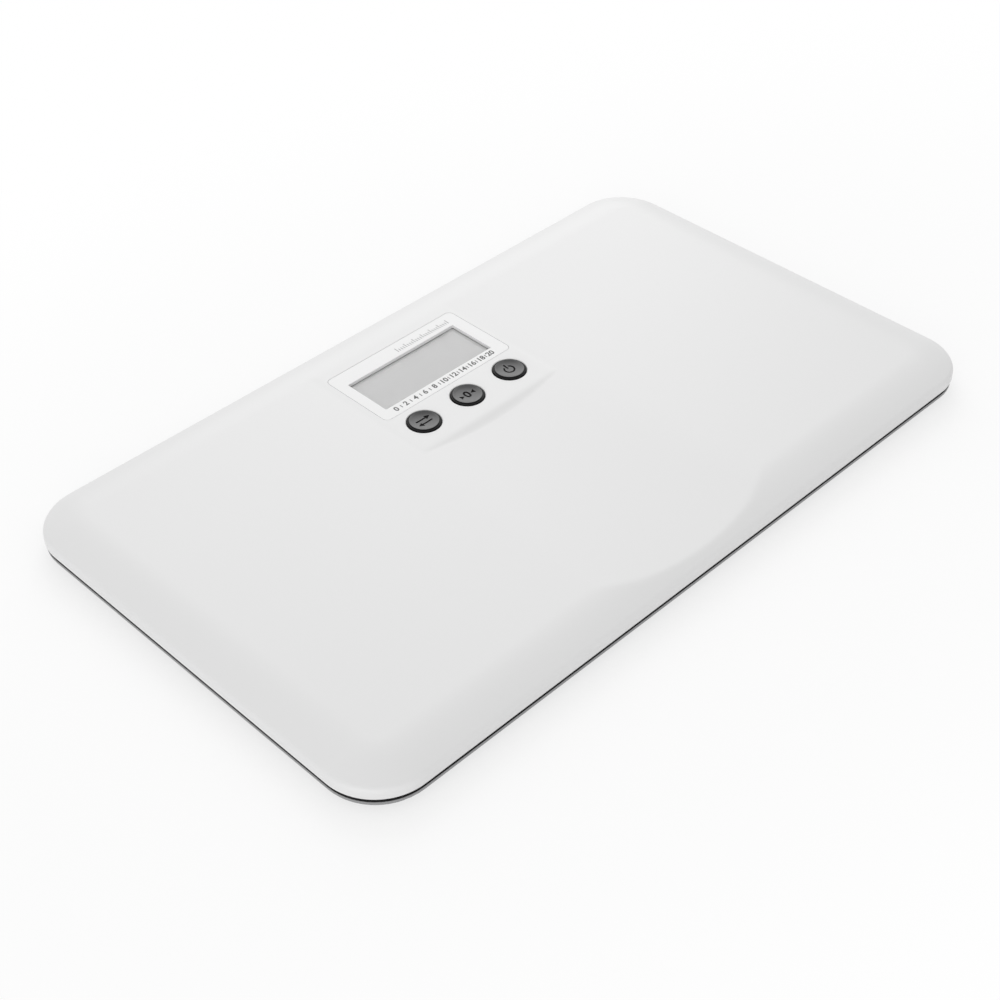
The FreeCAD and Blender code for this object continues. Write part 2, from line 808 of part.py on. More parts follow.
def rim_section():
    """Rounded lower edge, rim, and the lip that stands up inside the cover's wall."""
    front = -S.cover_width / 2
    wall = front + S.base_inset
    underside = wall + S.base_edge_round
    return [
        (wall, RIM_TOP),
        (wall, S.base_bottom + S.base_edge_round, underside,
         S.base_bottom + S.base_edge_round, S.base_edge_round, 1),
        (underside, S.base_bottom),
        (front + SHOULDER_INSET, S.base_bottom),
        (front + SHOULDER_INSET, FLOOR_TOP),
        (front + LIP_INSIDE, FLOOR_TOP),
        (front + LIP_INSIDE, LIP_TOP),
        (front + LIP_OUTSIDE, LIP_TOP),
        (front + LIP_OUTSIDE, RIM_TOP),
    ]


def tray_pan():
    body = new_body("tray")
    path = outline(body, "XY_Plane", ring(ZERO))
    section_place = -S.cover_length / 2 + S.corner_radius
    rim = body.newObject("PartDesign::AdditivePipe", "rim")
    rim.Profile = outline(body, "YZ_Plane", rim_section(), section_place)
    rim.Spine = path
    pad(body, outline(body, "XY_Plane", ring(SHOULDER_INSET), S.base_bottom), S.base_floor)
    return body


def make_edge_seal():
    """Dark strip that closes the gap between the tray's rim and the cover's edge."""
    body = new_body("seal")
    strip = outline(body, "XY_Plane", ring(S.base_inset + S.seal_setback), RIM_TOP)
    add_loop(strip, ring(LIP_OUTSIDE - S.seal_clearance))
    pad(body, strip, S.rim_gap - S.seal_clearance)
    piece("edge_seal", body)


def tray_ribs():
    ribs = []
    length = S.cover_length - 2 * LIP_INSIDE
    width = S.cover_width - 2 * LIP_INSIDE
    line_x = FOOT_X - S.land_side / 2 - S.tray_rib_gap
    line_y = FOOT_Y - S.land_side / 2 - S.tray_rib_gap
    for _, side in SIDES:
        ribs.append(box(length, S.rib_thickness, S.tray_rib_height, ZERO, side * line_y, FLOOR_TOP))
        ribs.append(box(S.rib_thickness, width, S.tray_rib_height, side * line_x, ZERO, FLOOR_TOP))
    return ribs


def bay_middle():
    return BAY_X + BAY_LENGTH / 2


def underside_relief():
    """Shallow groove round the middle of the underside, and a sunk field that stays bare."""
    length = S.cover_length - 2 * S.groove_inset_x
    width = S.cover_width - 2 * S.groove_inset_y
    band = 2 * S.groove_width
    outer = slab(rounded(length, width, S.groove_corner), S.base_bottom, S.groove_depth)
    inner = slab(rounded(length - band, width - band, S.groove_corner - S.groove_width),
                 S.base_bottom, S.groove_depth)
    field = slab(rounded(S.bare_field_length, S.bare_field_width, S.bare_field_corner,
                         S.bare_field_place_x, ZERO), S.base_bottom, S.bare_field_depth)
    return [cut(outer, [inner]), field]


def make_base_tray():
    solids = [tray_pan()] + tray_ribs()
    cuts = underside_relief()
    for _, x, y, _ in foot_spots():
        solids.append(box(S.land_side, S.land_side, S.land_height, x, y, FLOOR_TOP))
        cuts.append(rod(S.foot_hole_radius, 2 * S.cutter_margin, x, y, S.base_bottom - S.cutter_margin / 2))
    for x, y in holder_screw_spots():
        depth = S.holder_screw_length - S.holder_height + S.bore_depth_margin / 2
        cuts.append(rod(S.screw_hole_radius, depth, x, y, LAND_TOP - depth))
    for x, y in cover_screw_spots():
        solids.append(rod(S.cover_post_radius, S.cover_post_height, x, y, FLOOR_TOP))
        cuts.append(rod(S.counterbore_radius, S.counterbore_depth, x, y, S.base_bottom))
        cuts.append(rod(S.screw_hole_radius, POST_TOP - S.base_bottom, x, y, S.base_bottom))
    solids.append(box(BAY_LENGTH + 2 * S.bay_wall, BAY_WIDTH + 2 * S.bay_wall, BAY_TOP - FLOOR_TOP,
                      bay_middle(), BAY_Y, FLOOR_TOP))
    cuts.append(box(BAY_LENGTH, BAY_WIDTH, BAY_CEILING - S.base_bottom, bay_middle(), BAY_Y,
                    S.base_bottom))
    latch_end = BAY_X + DOOR_OPENING / 2
    cuts.append(box(DOOR_OPENING, BAY_WIDTH, DOOR_TOP + S.battery_gap - S.base_bottom, latch_end,
                    BAY_Y, S.base_bottom))
    pin_span = BAY_WIDTH + 2 * S.door_pin_reach + 2 * S.battery_gap
    along_y = FreeCAD.Rotation(FreeCAD.Vector(1, 0, 0), -90)
    cuts.append(rod(S.door_pin_radius + S.door_pin_clearance, pin_span, HINGE_X,
                    BAY_Y - pin_span / 2, HINGE_Z, along_y))
    piece("base_tray", cut(fuse(solids), cuts))


# ---------------------------------------------------------------- load cells and feet

def make_load_cell(name, x, y, side):
    """Steel plate with an E-shaped cut that frees the tongue in its middle."""
    body = new_body("cell")
    pad(body, outline(body, "XY_Plane", rectangle(S.cell_side, S.cell_side), LAND_TOP), S.cell_thickness)
    inner = S.cell_tongue_width / 2
    outer = inner + S.cell_slot
    near, far = -S.cell_tongue_length / 2, S.cell_tongue_length / 2
    slot = [
        (near, -outer), (far + S.cell_slot, -outer), (far + S.cell_slot, outer), (near, outer),
        (near, inner), (far, inner), (far, -inner), (near, -inner),
    ]
    groove = body.newObject("PartDesign::Pocket", "slot")
    groove.Profile = outline(body, "XY_Plane", slot, CELL_TOP)
    groove.setExpression("Length", S.cell_thickness.formula)
    turn = FreeCAD.Rotation(FreeCAD.Vector(0, 0, 1), 0 if side > 0 else 180)
    piece("load_cell_" + name, place(body, x, y, ZERO, turn))


def make_cell_holder(name, x, y, x_side):
    shell = box(S.land_side, S.land_side, S.holder_height, x, y, LAND_TOP)
    nest = S.cell_side + 2 * S.cell_clearance
    cuts = [
        box(nest, nest, S.cell_thickness, x, y, LAND_TOP),
        rod(S.holder_relief_radius, S.holder_relief_depth, x, y, CELL_TOP),
        box(S.land_side / 2, S.holder_slot_width, S.holder_slot_height,
            x - x_side * S.land_side / 4, y, CELL_TOP - S.lead_joint_gap),
    ]
    for corner in (-1, 1):
        reach = corner * HOLDER_SCREW_REACH
        cuts.append(rod(S.screw_hole_radius, S.holder_height, x + reach, y + reach, LAND_TOP))
    piece("cell_holder_" + name, cut(shell, cuts))


def make_foot(name, x, y):
    disc = rod(S.foot_radius, S.foot_thickness, x, y, S.pad_thickness)
    stem_height = LAND_TOP - S.pad_thickness
    stem = rod(S.foot_stem_radius, stem_height, x, y, S.pad_thickness)
    piece("foot_" + name, fuse([disc, stem]))
    piece("foot_pad_" + name, rod(S.pad_radius, S.pad_thickness, x, y, ZERO))


def make_supports():
    for name, x, y, x_side in foot_spots():
        make_load_cell(name, x, y, x_side)
        make_cell_holder(name, x, y, x_side)
        make_foot(name, x, y)


# ---------------------------------------------------------------- batteries

def battery_y(side):
    return BAY_Y + side * S.battery_pitch


def make_batteries():
    along_x = FreeCAD.Rotation(FreeCAD.Vector(0, 1, 0), 90)
    start = BAY_X + S.spring_space
    for name, side in BATTERIES:
        y = battery_y(side)
        case = rod(S.battery_radius, S.battery_length, start, y, BATTERY_LEVEL, along_x)
        nub = rod(S.battery_nub_radius, S.battery_length + S.battery_nub_length, start, y, BATTERY_LEVEL,
                  along_x)
        piece("battery_" + name, fuse([case, nub]))


def spring_leaf(side):
    """Bent leaf: a flat back on the wall and a bulge that presses on the battery."""
    body = new_body("leaf")
    half = S.contact_height / 2
    thickness = S.contact_thickness
    tip = S.spring_space - S.contact_gap
    sketch = outline(body, "XZ_Plane", [(ZERO, -half), (thickness, -half), (tip, ZERO), (thickness, half),
                                        (ZERO, half)])
    inner = half - 2 * thickness
    add_loop(sketch, [(thickness, -inner), (tip - 2 * thickness, ZERO), (thickness, inner)])
    pad(body, sketch, S.contact_width, symmetric=True)
    return place(body, BAY_X, battery_y(side), BATTERY_LEVEL)


def make_contacts():
    piece("battery_springs", group([spring_leaf(side) for _, side in BATTERIES]))
    end = BAY_X + BAY_LENGTH
    plates = [box(S.contact_thickness, S.contact_width, S.contact_height, end - S.contact_thickness / 2,
                  battery_y(side), BATTERY_LEVEL - S.contact_height / 2) for _, side in BATTERIES]
    piece("battery_plates", group(plates))


def make_battery_door():
    """Door with a hinge barrel, two stub pins and a springy latch tongue."""
    width = BAY_WIDTH - 2 * S.door_gap
    along_y = FreeCAD.Rotation(FreeCAD.Vector(1, 0, 0), -90)
    door_end = BAY_X + DOOR_OPENING - S.door_gap
    leaf = box(door_end - HINGE_X, width, S.door_thickness, (door_end + HINGE_X) / 2, BAY_Y,
               S.base_bottom)
    barrel = rod(S.door_hinge_radius, width, HINGE_X, BAY_Y - width / 2, HINGE_Z, along_y)
    reach = BAY_WIDTH + 2 * S.door_pin_reach
    pin = rod(S.door_pin_radius, reach, HINGE_X, BAY_Y - reach / 2, HINGE_Z, along_y)
    latch = box(S.latch_thickness, S.latch_width, S.latch_height + S.door_thickness,
                door_end - S.latch_thickness / 2, BAY_Y, S.base_bottom)
    grip_level = S.base_bottom + S.grip_depth - S.grip_radius
    grip = rod(S.grip_radius, S.grip_length, door_end - S.grip_inset, BAY_Y - S.grip_length / 2, grip_level,
               along_y)
    piece("battery_door", cut(fuse([leaf, barrel, pin, latch]), [grip]))


# ---------------------------------------------------------------- screws

def screw(length, x, y, z, up):
    """A screw whose shaft starts at level z and runs up or down from its head."""
    shaft_start = z if up else z - length
    head_start = z - S.screw_head_height if up else z
    socket_start = head_start if up else head_start + S.screw_head_height - S.screw_recess_depth
    solid = fuse([rod(S.screw_shaft_radius, length, x, y, shaft_start),
                  rod(S.screw_head_radius, S.screw_head_height, x, y, head_start)])
    socket = rod(S.screw_recess_radius, S.screw_recess_depth, x, y, socket_start)
    return cut(solid, [socket])


def make_screws():
    seat = S.base_bottom + S.counterbore_depth
    piece("cover_screws", group([screw(S.cover_screw_length, x, y, seat, True)
                                 for x, y in cover_screw_spots()]))
    piece("board_screws", group([screw(S.board_screw_length, x, y, BOARD_BOTTOM, True)
                                 for x, y in board_screw_spots()]))
    piece("holder_screws", group([screw(S.holder_screw_length, x, y, HOLDER_TOP, False)
                                  for x, y in holder_screw_spots()]))


# ---------------------------------------------------------------- leads

LEAD_LEVEL = CELL_TOP.value + S.lead_joint_gap.value + S.lead_radius.value
LEAD_RUN_LEVEL = FLOOR_TOP.value + S.tray_rib_height.value + S.lead_radius.value + S.lead_joint_gap.value
LEAD_END_LEVEL = BOARD_BOTTOM.value - S.lead_radius.value - S.lead_end_gap.value

# Hand-laid routes in plan.  The first points are counted from the middle of the load cell,
# or from the bay's outer corner; the last ones from the middle of the board.
FRONT_LEAD = (
    ((-9, 0), (-29, 0), (-43, 19), (-50, 49), (-65, 85)),
    ((122, -78), (90, -56), (64, -40), (43, -30), (24, -25)),
)
BACK_LEAD = (
    ((-9, 0), (-29, 0), (-57, -7), (-91, -14)),
    ((100, 12), (72, 4), (48, 0), (30, -1)),
)
BATTERY_LEAD = (
    ((-0.4, 10), (-12.4, 13), (-28.4, 26), (-42.4, 46)),
    ((34, -70), (21, -50), (8, -34), (-5, -22)),
)


# Share of the shorter run that an arc takes at a corner of a lead.
ARC_SHARE = 0.45


def lead_route(route, start_x, start_y, x_side, low_from, low_to):
    """Leaves high, lies on the tray's ribs from one point to another, and rises to the board."""
    leaving, arriving = route
    spots = [(start_x.value + x, start_y.value + y) for x, y in leaving]
    spots += [(x, BOARD_Y.value + y) for x, y in arriving]
    points = []
    for number, (x, y) in enumerate(spots):
        level = LEAD_LEVEL if number < low_from else LEAD_RUN_LEVEL
        if number > low_to:
            level = LEAD_END_LEVEL
        points.append(FreeCAD.Vector(x_side * x, y, level))
    return points


def lead_wire(points):
    """Straight runs joined by tangent arcs, as large as the runs allow."""
    edges = []
    start = points[0]
    radii = []
    for before, corner, after in zip(points, points[1:], points[2:]):
        arriving = (corner - before).normalize()
        leaving = (after - corner).normalize()
        turn = arriving.getAngle(leaving)
        reach = ARC_SHARE * min((corner - before).Length, (after - corner).Length)
        radius = reach / math.tan(turn / 2)
        first = corner - arriving * reach
        last = corner + leaving * reach
        inward = (leaving - arriving).normalize()
        middle = corner + inward * (radius / math.cos(turn / 2) - radius)
        edges.append(Part.LineSegment(start, first).toShape())
        edges.append(Part.Arc(first, middle, last).toShape())
        radii.append(radius)
        start = last
    edges.append(Part.LineSegment(start, points[-1]).toShape())
    return Part.Wire(edges), min(radii)


def make_lead(label, points):
    wire, tightest = lead_wire(points)
    start_direction = (points[1] - points[0]).normalize()
    circle = Part.Circle(points[0], start_direction, S.lead_radius.value)
    tube = wire.makePipeShell([Part.Wire([circle.toShape()])], True, False)
    lead = doc.addObject("Part::Feature", label)
    lead.Shape = tube
    lead.Placement = FreeCAD.Placement()
    section = math.pi * S.lead_radius.value ** 2
    error = abs(tube.Volume / (section * wire.Length) - 1)
    print("%s: tightest radius %.1f, volume off by %.4f" % (label, tightest, error))
    piece(label, lead)


def make_leads():
    for end, y_side, route, low_to in (("front", -1, FRONT_LEAD, 6), ("back", 1, BACK_LEAD, 4)):
        for side, x_side in SIDES:
            points = lead_route(route, FOOT_X, y_side * FOOT_Y, x_side, 2, low_to)
            make_lead("sensor_lead_%s_%s" % (end, side), points)
    make_lead("battery_lead", lead_route(BATTERY_LEAD, BAY_X - S.bay_wall, BAY_Y, 1, 1, 4))


# ---------------------------------------------------------------- build and write

def check_document():
    for thing in doc.Objects:
        if "Invalid" in thing.State or "Error" in thing.State:
            raise RuntimeError("failed object: %s (%s)" % (thing.Name, thing.Label))
    for thing in pieces:
        if thing.Shape.isNull() or not thing.Shape.isValid() or thing.Shape.Volume <= 0:
            raise RuntimeError("bad shape: " + thing.Label)


def main():
    make_top_cover()
    make_display_panel()
    make_display_window()
    make_lcd_glass()
    make_lcd_frame()
    make_contact_strip()
    make_circuit_board()
    make_buttons()
    make_base_tray()
    make_edge_seal()
    make_supports()
    make_batteries()
    make_contacts()
    make_battery_door()
    make_screws()
    make_leads()
    doc.recompute()
    check_document()
    os.makedirs("parts", exist_ok=True)
    for thing in pieces:
        thing.Shape.exportStep("parts/%s.step" % thing.Label)
        print("%s: %d solids, %.0f mm3" % (thing.Label, len(thing.Shape.Solids), thing.Shape.Volume))


main()
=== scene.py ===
"""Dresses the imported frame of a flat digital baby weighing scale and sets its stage."""

import math

import bmesh
import bpy
from mathutils import Matrix, Vector


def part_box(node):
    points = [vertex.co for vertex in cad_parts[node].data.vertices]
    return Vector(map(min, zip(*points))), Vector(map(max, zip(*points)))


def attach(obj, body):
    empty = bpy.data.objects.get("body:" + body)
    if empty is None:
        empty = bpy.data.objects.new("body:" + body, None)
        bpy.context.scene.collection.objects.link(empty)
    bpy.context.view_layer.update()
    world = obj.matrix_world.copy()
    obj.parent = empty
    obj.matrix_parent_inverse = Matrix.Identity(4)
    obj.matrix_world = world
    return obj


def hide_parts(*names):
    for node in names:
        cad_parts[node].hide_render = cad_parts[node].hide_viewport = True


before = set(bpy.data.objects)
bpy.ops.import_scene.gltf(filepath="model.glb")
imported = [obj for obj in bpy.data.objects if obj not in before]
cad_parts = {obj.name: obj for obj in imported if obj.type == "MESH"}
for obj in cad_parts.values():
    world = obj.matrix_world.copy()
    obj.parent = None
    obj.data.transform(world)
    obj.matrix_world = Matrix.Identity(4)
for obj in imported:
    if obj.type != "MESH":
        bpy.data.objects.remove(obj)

bl_info = {
    "name": "Baby weighing scale",
    "version": (1, 0, 0),
    "blender": (4, 5, 0),
    "location": "3D View > Sidebar > Scale",
    "description": "Makes the dressed pieces of a flat digital baby weighing scale",
    "category": "Object",
}

MM = 0.001
SIDES = ("left", "middle", "right")
CORNERS = ("front_left", "front_right", "back_left", "back_right")


# ---------------------------------------------------------------- sizes and colours


def length(name, description, millimetres):
    """A length that a user may change, given in millimetres."""
    return bpy.props.FloatProperty(
        name=name,
        description=description,
        default=millimetres * MM,
        min=0.0,
        unit="LENGTH",
        subtype="DISTANCE",
        precision=5,
    )


def colour(name, description, red, green, blue):
    """A surface colour that a user may change."""
    return bpy.props.FloatVectorProperty(
        name=name,
        description=description,
        default=(red, green, blue),
        min=0.0,
        max=1.0,
        size=3,
        subtype="COLOR",
    )


class ScaleSizes(bpy.types.PropertyGroup):
    """Sizes of the dressed pieces."""

    cover_wall: length("Cover wall", "Thickness of the cover's plastic", 2.5)
    side_round: length("Side round", "Radius of the cover's side edge", 4.6)
    shoulder_round: length("Shoulder round", "Radius of the cover's shoulder", 64.8)
    corner_round: length("Corner round", "Radius of the cover's corners", 37.2)
    trough_front_depth: length("Trough depth, front", "Depth at the front", 3.97)
    trough_depth: length("Trough depth", "Depth of the trough at the island", 1.6)
    trough_front_half: length("Trough half width, front", "Half its width in front", 71.5)
    trough_half: length("Trough half width", "Half its width at the island", 59.5)
    trough_soft: length("Trough softness", "How softly the trough's sides end", 1.2)
    island_front: length("Island front", "Place of the island's front edge", 27.1)
    island_half: length("Island half width", "Half the width of the level island", 56.5)
    hole_round: length("Hole round", "Rounding of the button holes' edges", 0.85)
    panel_gap: length("Panel gap", "Gap between the panel and the cover", 0.3)
    print_height: length("Print thickness", "Thickness of the printed marks", 0.03)
    digit_height: length("Digit height", "Height of the panel's digits", 4.4)
    dish: length("Button dish", "How far the middle of a button lies below its edge", 1.0)
    mark_depth: length("Mark depth", "Depth of the marks in the buttons", 0.25)


class ScaleColours(bpy.types.PropertyGroup):
    """Colours of the finishes."""

    cover: colour("Cover", "Satin white plastic of the top cover", 0.80, 0.80, 0.80)
    panel: colour("Panel", "White film round the display", 0.84, 0.84, 0.84)
    display: colour("Display", "Blank display glass", 0.55, 0.55, 0.55)
    base: colour("Base", "Grey plastic of the tray and the door", 0.30, 0.30, 0.305)
    # Both colours are one cap's plastic: the rings' darker colour paints the shade that
    # falls on the caps' rings.
    buttons: colour("Buttons", "Dark plastic of the caps' rings", 0.007, 0.007, 0.0073)
    cap_discs: colour("Cap discs", "Dark plastic of the caps' tops", 0.030, 0.030, 0.031)


# ---------------------------------------------------------------- finishes


class Wire:
    """One output of a node. Arithmetic on it adds the Math nodes that work it out."""

    def __init__(self, finish, socket):
        self.finish, self.socket = finish, socket

    def _maths(self, operation, first, second):
        return self.finish.add("ShaderNodeMath", {0: first, 1: second}, operation=operation)

    def __add__(self, other):
        return self._maths("ADD", self, other)

    def __sub__(self, other):
        return self._maths("SUBTRACT", self, other)

    def __rsub__(self, other):
        return self._maths("SUBTRACT", other, self)

    def __mul__(self, other):
        return self._maths("MULTIPLY", self, other)

    def over(self, limit):
        """1 where it is more than a limit, and otherwise 0."""
        return self._maths("GREATER_THAN", self, limit)

    def or_more(self, other):
        """The greater of it and another output."""
        return self._maths("MAXIMUM", self, other)

    __radd__ = __add__
    __rmul__ = __mul__


WHITE = (1.0, 1.0, 1.0, 1.0)


class Finish:
    """A material, or the world's surface, that is put together from nodes."""

    def __init__(self, name, library="materials"):
        self.owner = getattr(bpy.data, library).new(name)
        self.owner.use_nodes = True
        tree = self.owner.node_tree
        self.nodes, self.links = tree.nodes, tree.links
        self.nodes.clear()

    def add(self, kind, sockets=None, output=0, **settings):
        """Adds a node of that kind, sets it up and returns one of its outputs."""
        node = self.nodes.new(kind)
        for key, value in settings.items():
            setattr(node, key, value)
        for key, value in (sockets or {}).items():
            socket = node.inputs[key]
            if isinstance(value, Wire):
                self.links.new(value.socket, socket)
            else:
                socket.default_value = value
        return None if output is None else Wire(self, node.outputs[output])

    def spot(self):
        """The piece's own coordinates, in metres."""
        return self.add("ShaderNodeTexCoord", output="Object")

    def place(self, scale=(1.0, 1.0, 1.0)):
        """The piece's own coordinates, stretched for a pattern."""
        return self.add("ShaderNodeMapping", {"Vector": self.spot(), "Scale": scale})

    def noise(self, size, detail=2.0, scale=(1.0, 1.0, 1.0)):
        """Grain whose spots are about size metres across, from 0 to 1."""
        grain = {"Vector": self.place(scale), "Scale": 1.0 / size, "Detail": detail}
        return self.add("ShaderNodeTexNoise", grain)

    def blend(self, first, second, share):
        """A colour between two colours."""
        sockets = {0: share, 6: as_colour(first), 7: as_colour(second)}
        return self.add("ShaderNodeMix", sockets, output=2, data_type="RGBA")

    def bump(self, height, depth):
        """A surface roughened by height, which is depth metres deep."""
        relief = {"Height": height, "Distance": depth, "Strength": 1.0}
        return self.add("ShaderNodeBump", relief)

    def mixed(self, share, first, second):
        """A shader between two shaders."""
        return self.add("ShaderNodeMixShader", {0: share, 1: first, 2: second})

    def output(self, shader):
        """Puts a shader on the material's output."""
        self.add("ShaderNodeOutputMaterial", {"Surface": shader}, output=None)
        return self.owner

    def surface(self, **sockets):
        """Puts the finish on its shader. A name's underscores stand for spaces."""
        named = {key.replace("_", " "): value for key, value in sockets.items()}
        if "Base Color" in named:
            named["Base Color"] = as_colour(named["Base Color"])
        return self.output(self.add("ShaderNodeBsdfPrincipled", named))


def as_colour(value):
    """A wire as it is, or three numbers as a colour with full alpha."""
    return value if isinstance(value, Wire) else (*value, 1.0)


def shade(base, factor):
    """A colour made darker or lighter."""
    return tuple(min(1.0, part * factor) for part in base)


def moulded_plastic(name, base, grain, depth, roughness, drift=0.03):
    """Moulded plastic with a spark-eroded grain and a faint drift in its colour."""
    finish = Finish(name)
    broad = finish.noise(90 * MM)
    fine = finish.noise(grain, detail=3.0)
    return finish.surface(
        Base_Color=finish.blend(shade(base, 1 - drift), base, broad),
        Roughness=roughness + 0.08 * (fine - 0.5),
        Normal=finish.bump(fine, depth),
    )


def dark_plastic(name, base, roughness, gloss):
    """Dark plastic of the button caps or the seal, with little or more gloss. The rings'
    darker copy paints shade on the caps, and the seal's black paints the shade in the gap
    under the cover.
    """
    finish = Finish(name)
    fine = finish.noise(0.4 * MM, detail=3.0)
    return finish.surface(
        Base_Color=finish.blend(shade(base, 0.9), base, finish.noise(6 * MM)),
        Roughness=roughness + 0.06 * fine,
        Specular_IOR_Level=gloss,
        Normal=finish.bump(fine, 0.003 * MM),
    )


def satin_plastic(name, base):
    """White satin plastic: a hardly visible grain, and gloss that drifts a little."""
    finish = Finish(name)
    broad = finish.noise(160 * MM)
    fine = finish.noise(0.7 * MM, detail=3.0)
    return finish.surface(
        Base_Color=finish.blend(shade(base, 0.985), base, broad),
        Roughness=0.40 + 0.06 * broad,
        Normal=finish.bump(fine, 0.004 * MM),
    )


def metal(name, base, roughness, along=(1.0, 1.0, 1.0)):
    """Bright metal with fine drawing lines."""
    finish = Finish(name)
    lines = finish.noise(0.6 * MM, scale=along)
    return finish.surface(
        Base_Color=finish.blend(shade(base, 0.8), base, lines),
        Roughness=roughness + 0.15 * (lines - 0.5),
        Metallic=1.0,
        Normal=finish.bump(lines, 0.01 * MM),
    )


def battery_sleeve():
    """A dark sleeve with a copper band at its nub and bare metal at both ends."""
    dark, copper, steel = (0.02, 0.02, 0.022), (0.55, 0.27, 0.09), (0.7, 0.7, 0.7)
    nub, rim, copper_length = 0.8 * MM, 0.5 * MM, 11 * MM
    finish = Finish("battery sleeve")
    low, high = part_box("battery_middle")
    along = finish.add("ShaderNodeSeparateXYZ", {"Vector": finish.spot()}, output="X")
    end = high.x - nub
    band = along.over(end - copper_length)
    bare = along.over(end - rim) + (1 - along.over(low.x + rim))
    grain = finish.noise(0.8 * MM)
    return finish.surface(
        Base_Color=finish.blend(finish.blend(dark, copper, band), steel, bare),
        Roughness=0.26 + 0.08 * grain,
        Metallic=0.6 * band * (1 - bare) + bare,
        Normal=finish.bump(grain, 0.004 * MM),
    )


def board_finish():
    """Green solder mask with lighter tracks and small bright pads."""
    track_pitch, pad_pitch, pad_reach = 7 * MM, 4.5 * MM, 0.14
    finish = Finish("circuit board")
    place = finish.place()
    tracks = finish.add(
        "ShaderNodeTexBrick",
        {
            "Vector": place,
            "Color1": (0.015, 0.13, 0.06, 1.0),
            "Color2": (0.02, 0.15, 0.07, 1.0),
            "Mortar": (0.05, 0.27, 0.12, 1.0),
            "Scale": 1.0 / track_pitch,
            "Mortar Size": 0.035,
        },
        offset=0.37,
        squash=1.4,
    )
    cells = finish.add(
        "ShaderNodeTexVoronoi",
        {"Vector": place, "Scale": 1.0 / pad_pitch, "Randomness": 0.6},
        output="Distance",
    )
    pad = 1 - cells.over(pad_reach)
    return finish.surface(
        Base_Color=finish.blend(tracks, (0.6, 0.5, 0.3), pad),
        Roughness=0.38 - 0.1 * pad,
        Metallic=0.8 * pad,
        Normal=finish.bump(finish.noise(1.2 * MM), 0.03 * MM),
    )


def clear_plastic(name):
    """A clear window: it lets all through but for the gloss on its face."""
    finish = Finish(name)
    haze = finish.noise(20 * MM)
    clear = finish.add("ShaderNodeBsdfTransparent", {"Color": WHITE})
    gloss = finish.add(
        "ShaderNodeBsdfPrincipled",
        {"Base Color": as_colour((0.9,) * 3), "Roughness": 0.03 + 0.03 * haze},
    )
    glance = finish.add("ShaderNodeFresnel", {"IOR": 1.4})
    return finish.output(finish.mixed(0.6 * glance, clear, gloss))


# ---------------------------------------------------------------- dressing


def dress(nodes, material):
    """Gives CAD nodes a finish."""
    for name in nodes:
        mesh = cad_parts[name].data
        mesh.materials.clear()
        mesh.materials.append(material)


def nodes_named(*starts):
    """The CAD nodes whose names begin so."""
    return [name for name in sorted(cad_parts) if name.startswith(starts)]


def palette():
    """The colours as the user has set them."""
    return bpy.context.scene.scale_colours


def sizes():
    """The sizes as the user has set them."""
    return bpy.context.scene.scale_sizes


def middle_of(low, high):
    """The middle of a box, seen from above."""
    return (low.x + high.x) / 2, (low.y + high.y) / 2


def extent_of(low, high, margin=0.0):
    """The length and the width of a box with a margin all round it."""
    return high.x - low.x + 2 * margin, high.y - low.y + 2 * margin


# ---------------------------------------------------------------- modelling by hand


def deselect():
    """Leaves nothing selected."""
    if bpy.context.mode != "OBJECT":
        bpy.ops.object.mode_set(mode="OBJECT")
    bpy.ops.object.select_all(action="DESELECT")


def take(thing):
    """Makes an object the only one that is selected, and the active one."""
    deselect()
    thing.select_set(True)
    bpy.context.view_layer.objects.active = thing


def shape(thing):
    """Opens an object in edit mode with all of its mesh selected."""
    take(thing)
    bpy.ops.object.mode_set(mode="EDIT")
    bpy.ops.mesh.select_mode(type="FACE")
    bpy.ops.mesh.select_all(action="SELECT")


def face_outwards():
    """In edit mode, turns every face of the mesh outwards."""
    bpy.ops.mesh.select_all(action="SELECT")
    bpy.ops.mesh.normals_make_consistent(inside=False)


def done():
    """Leaves edit mode and puts the object's place into its mesh."""
    bpy.ops.object.mode_set(mode="OBJECT")
    bpy.ops.object.transform_apply(location=True, rotation=True, scale=True)
    return bpy.context.object


def select_faces(test):
    """In edit mode, selects only the faces whose middle passes the test."""
    mesh = bmesh.from_edit_mesh(bpy.context.object.data)
    for face in mesh.faces:
        face.select_set(test(face.calc_center_median()))
    mesh.select_flush_mode()
    bmesh.update_edit_mesh(bpy.context.object.data)


def raise_by(height):
    """Extrudes the selected faces upwards."""
    bpy.ops.mesh.extrude_region_move(TRANSFORM_OT_translate={"value": (0.0, 0.0, height)})


def rounded_plate(size, corner, middle, level, steps=10):
    """A flat outline with rounded corners, on a level."""
    deselect()
    bpy.ops.mesh.primitive_plane_add(size=1.0, location=(*middle, level))
    bpy.ops.object.mode_set(mode="EDIT")
    bpy.ops.transform.resize(value=(*size, 1.0))
    bpy.ops.mesh.bevel(offset=corner, affect="VERTICES", segments=steps)
    return done()


def rounded_block(size, corner, middle, bottom, top, steps=10):
    """A block with rounded corners between two levels."""
    block = rounded_plate(size, corner, middle, bottom, steps)
    shape(block)
    raise_by(top - bottom)
    face_outwards()
    return done()


def turned(rings, x, y, vertices=96):
    """A round solid, from rings that are given as radius and level."""
    deselect()
    radius, level = rings[0]
    bpy.ops.mesh.primitive_circle_add(
        vertices=vertices, radius=radius, fill_type="NGON", location=(x, y, level)
    )
    bpy.ops.object.mode_set(mode="EDIT")
    bpy.ops.mesh.select_mode(type="FACE")
    bpy.ops.mesh.select_all(action="SELECT")
    for next_radius, next_level in rings[1:]:
        raise_by(next_level - level)
        share = next_radius / radius
        bpy.ops.transform.resize(value=(share, share, 1.0))
        radius, level = next_radius, next_level
    face_outwards()
    return done()


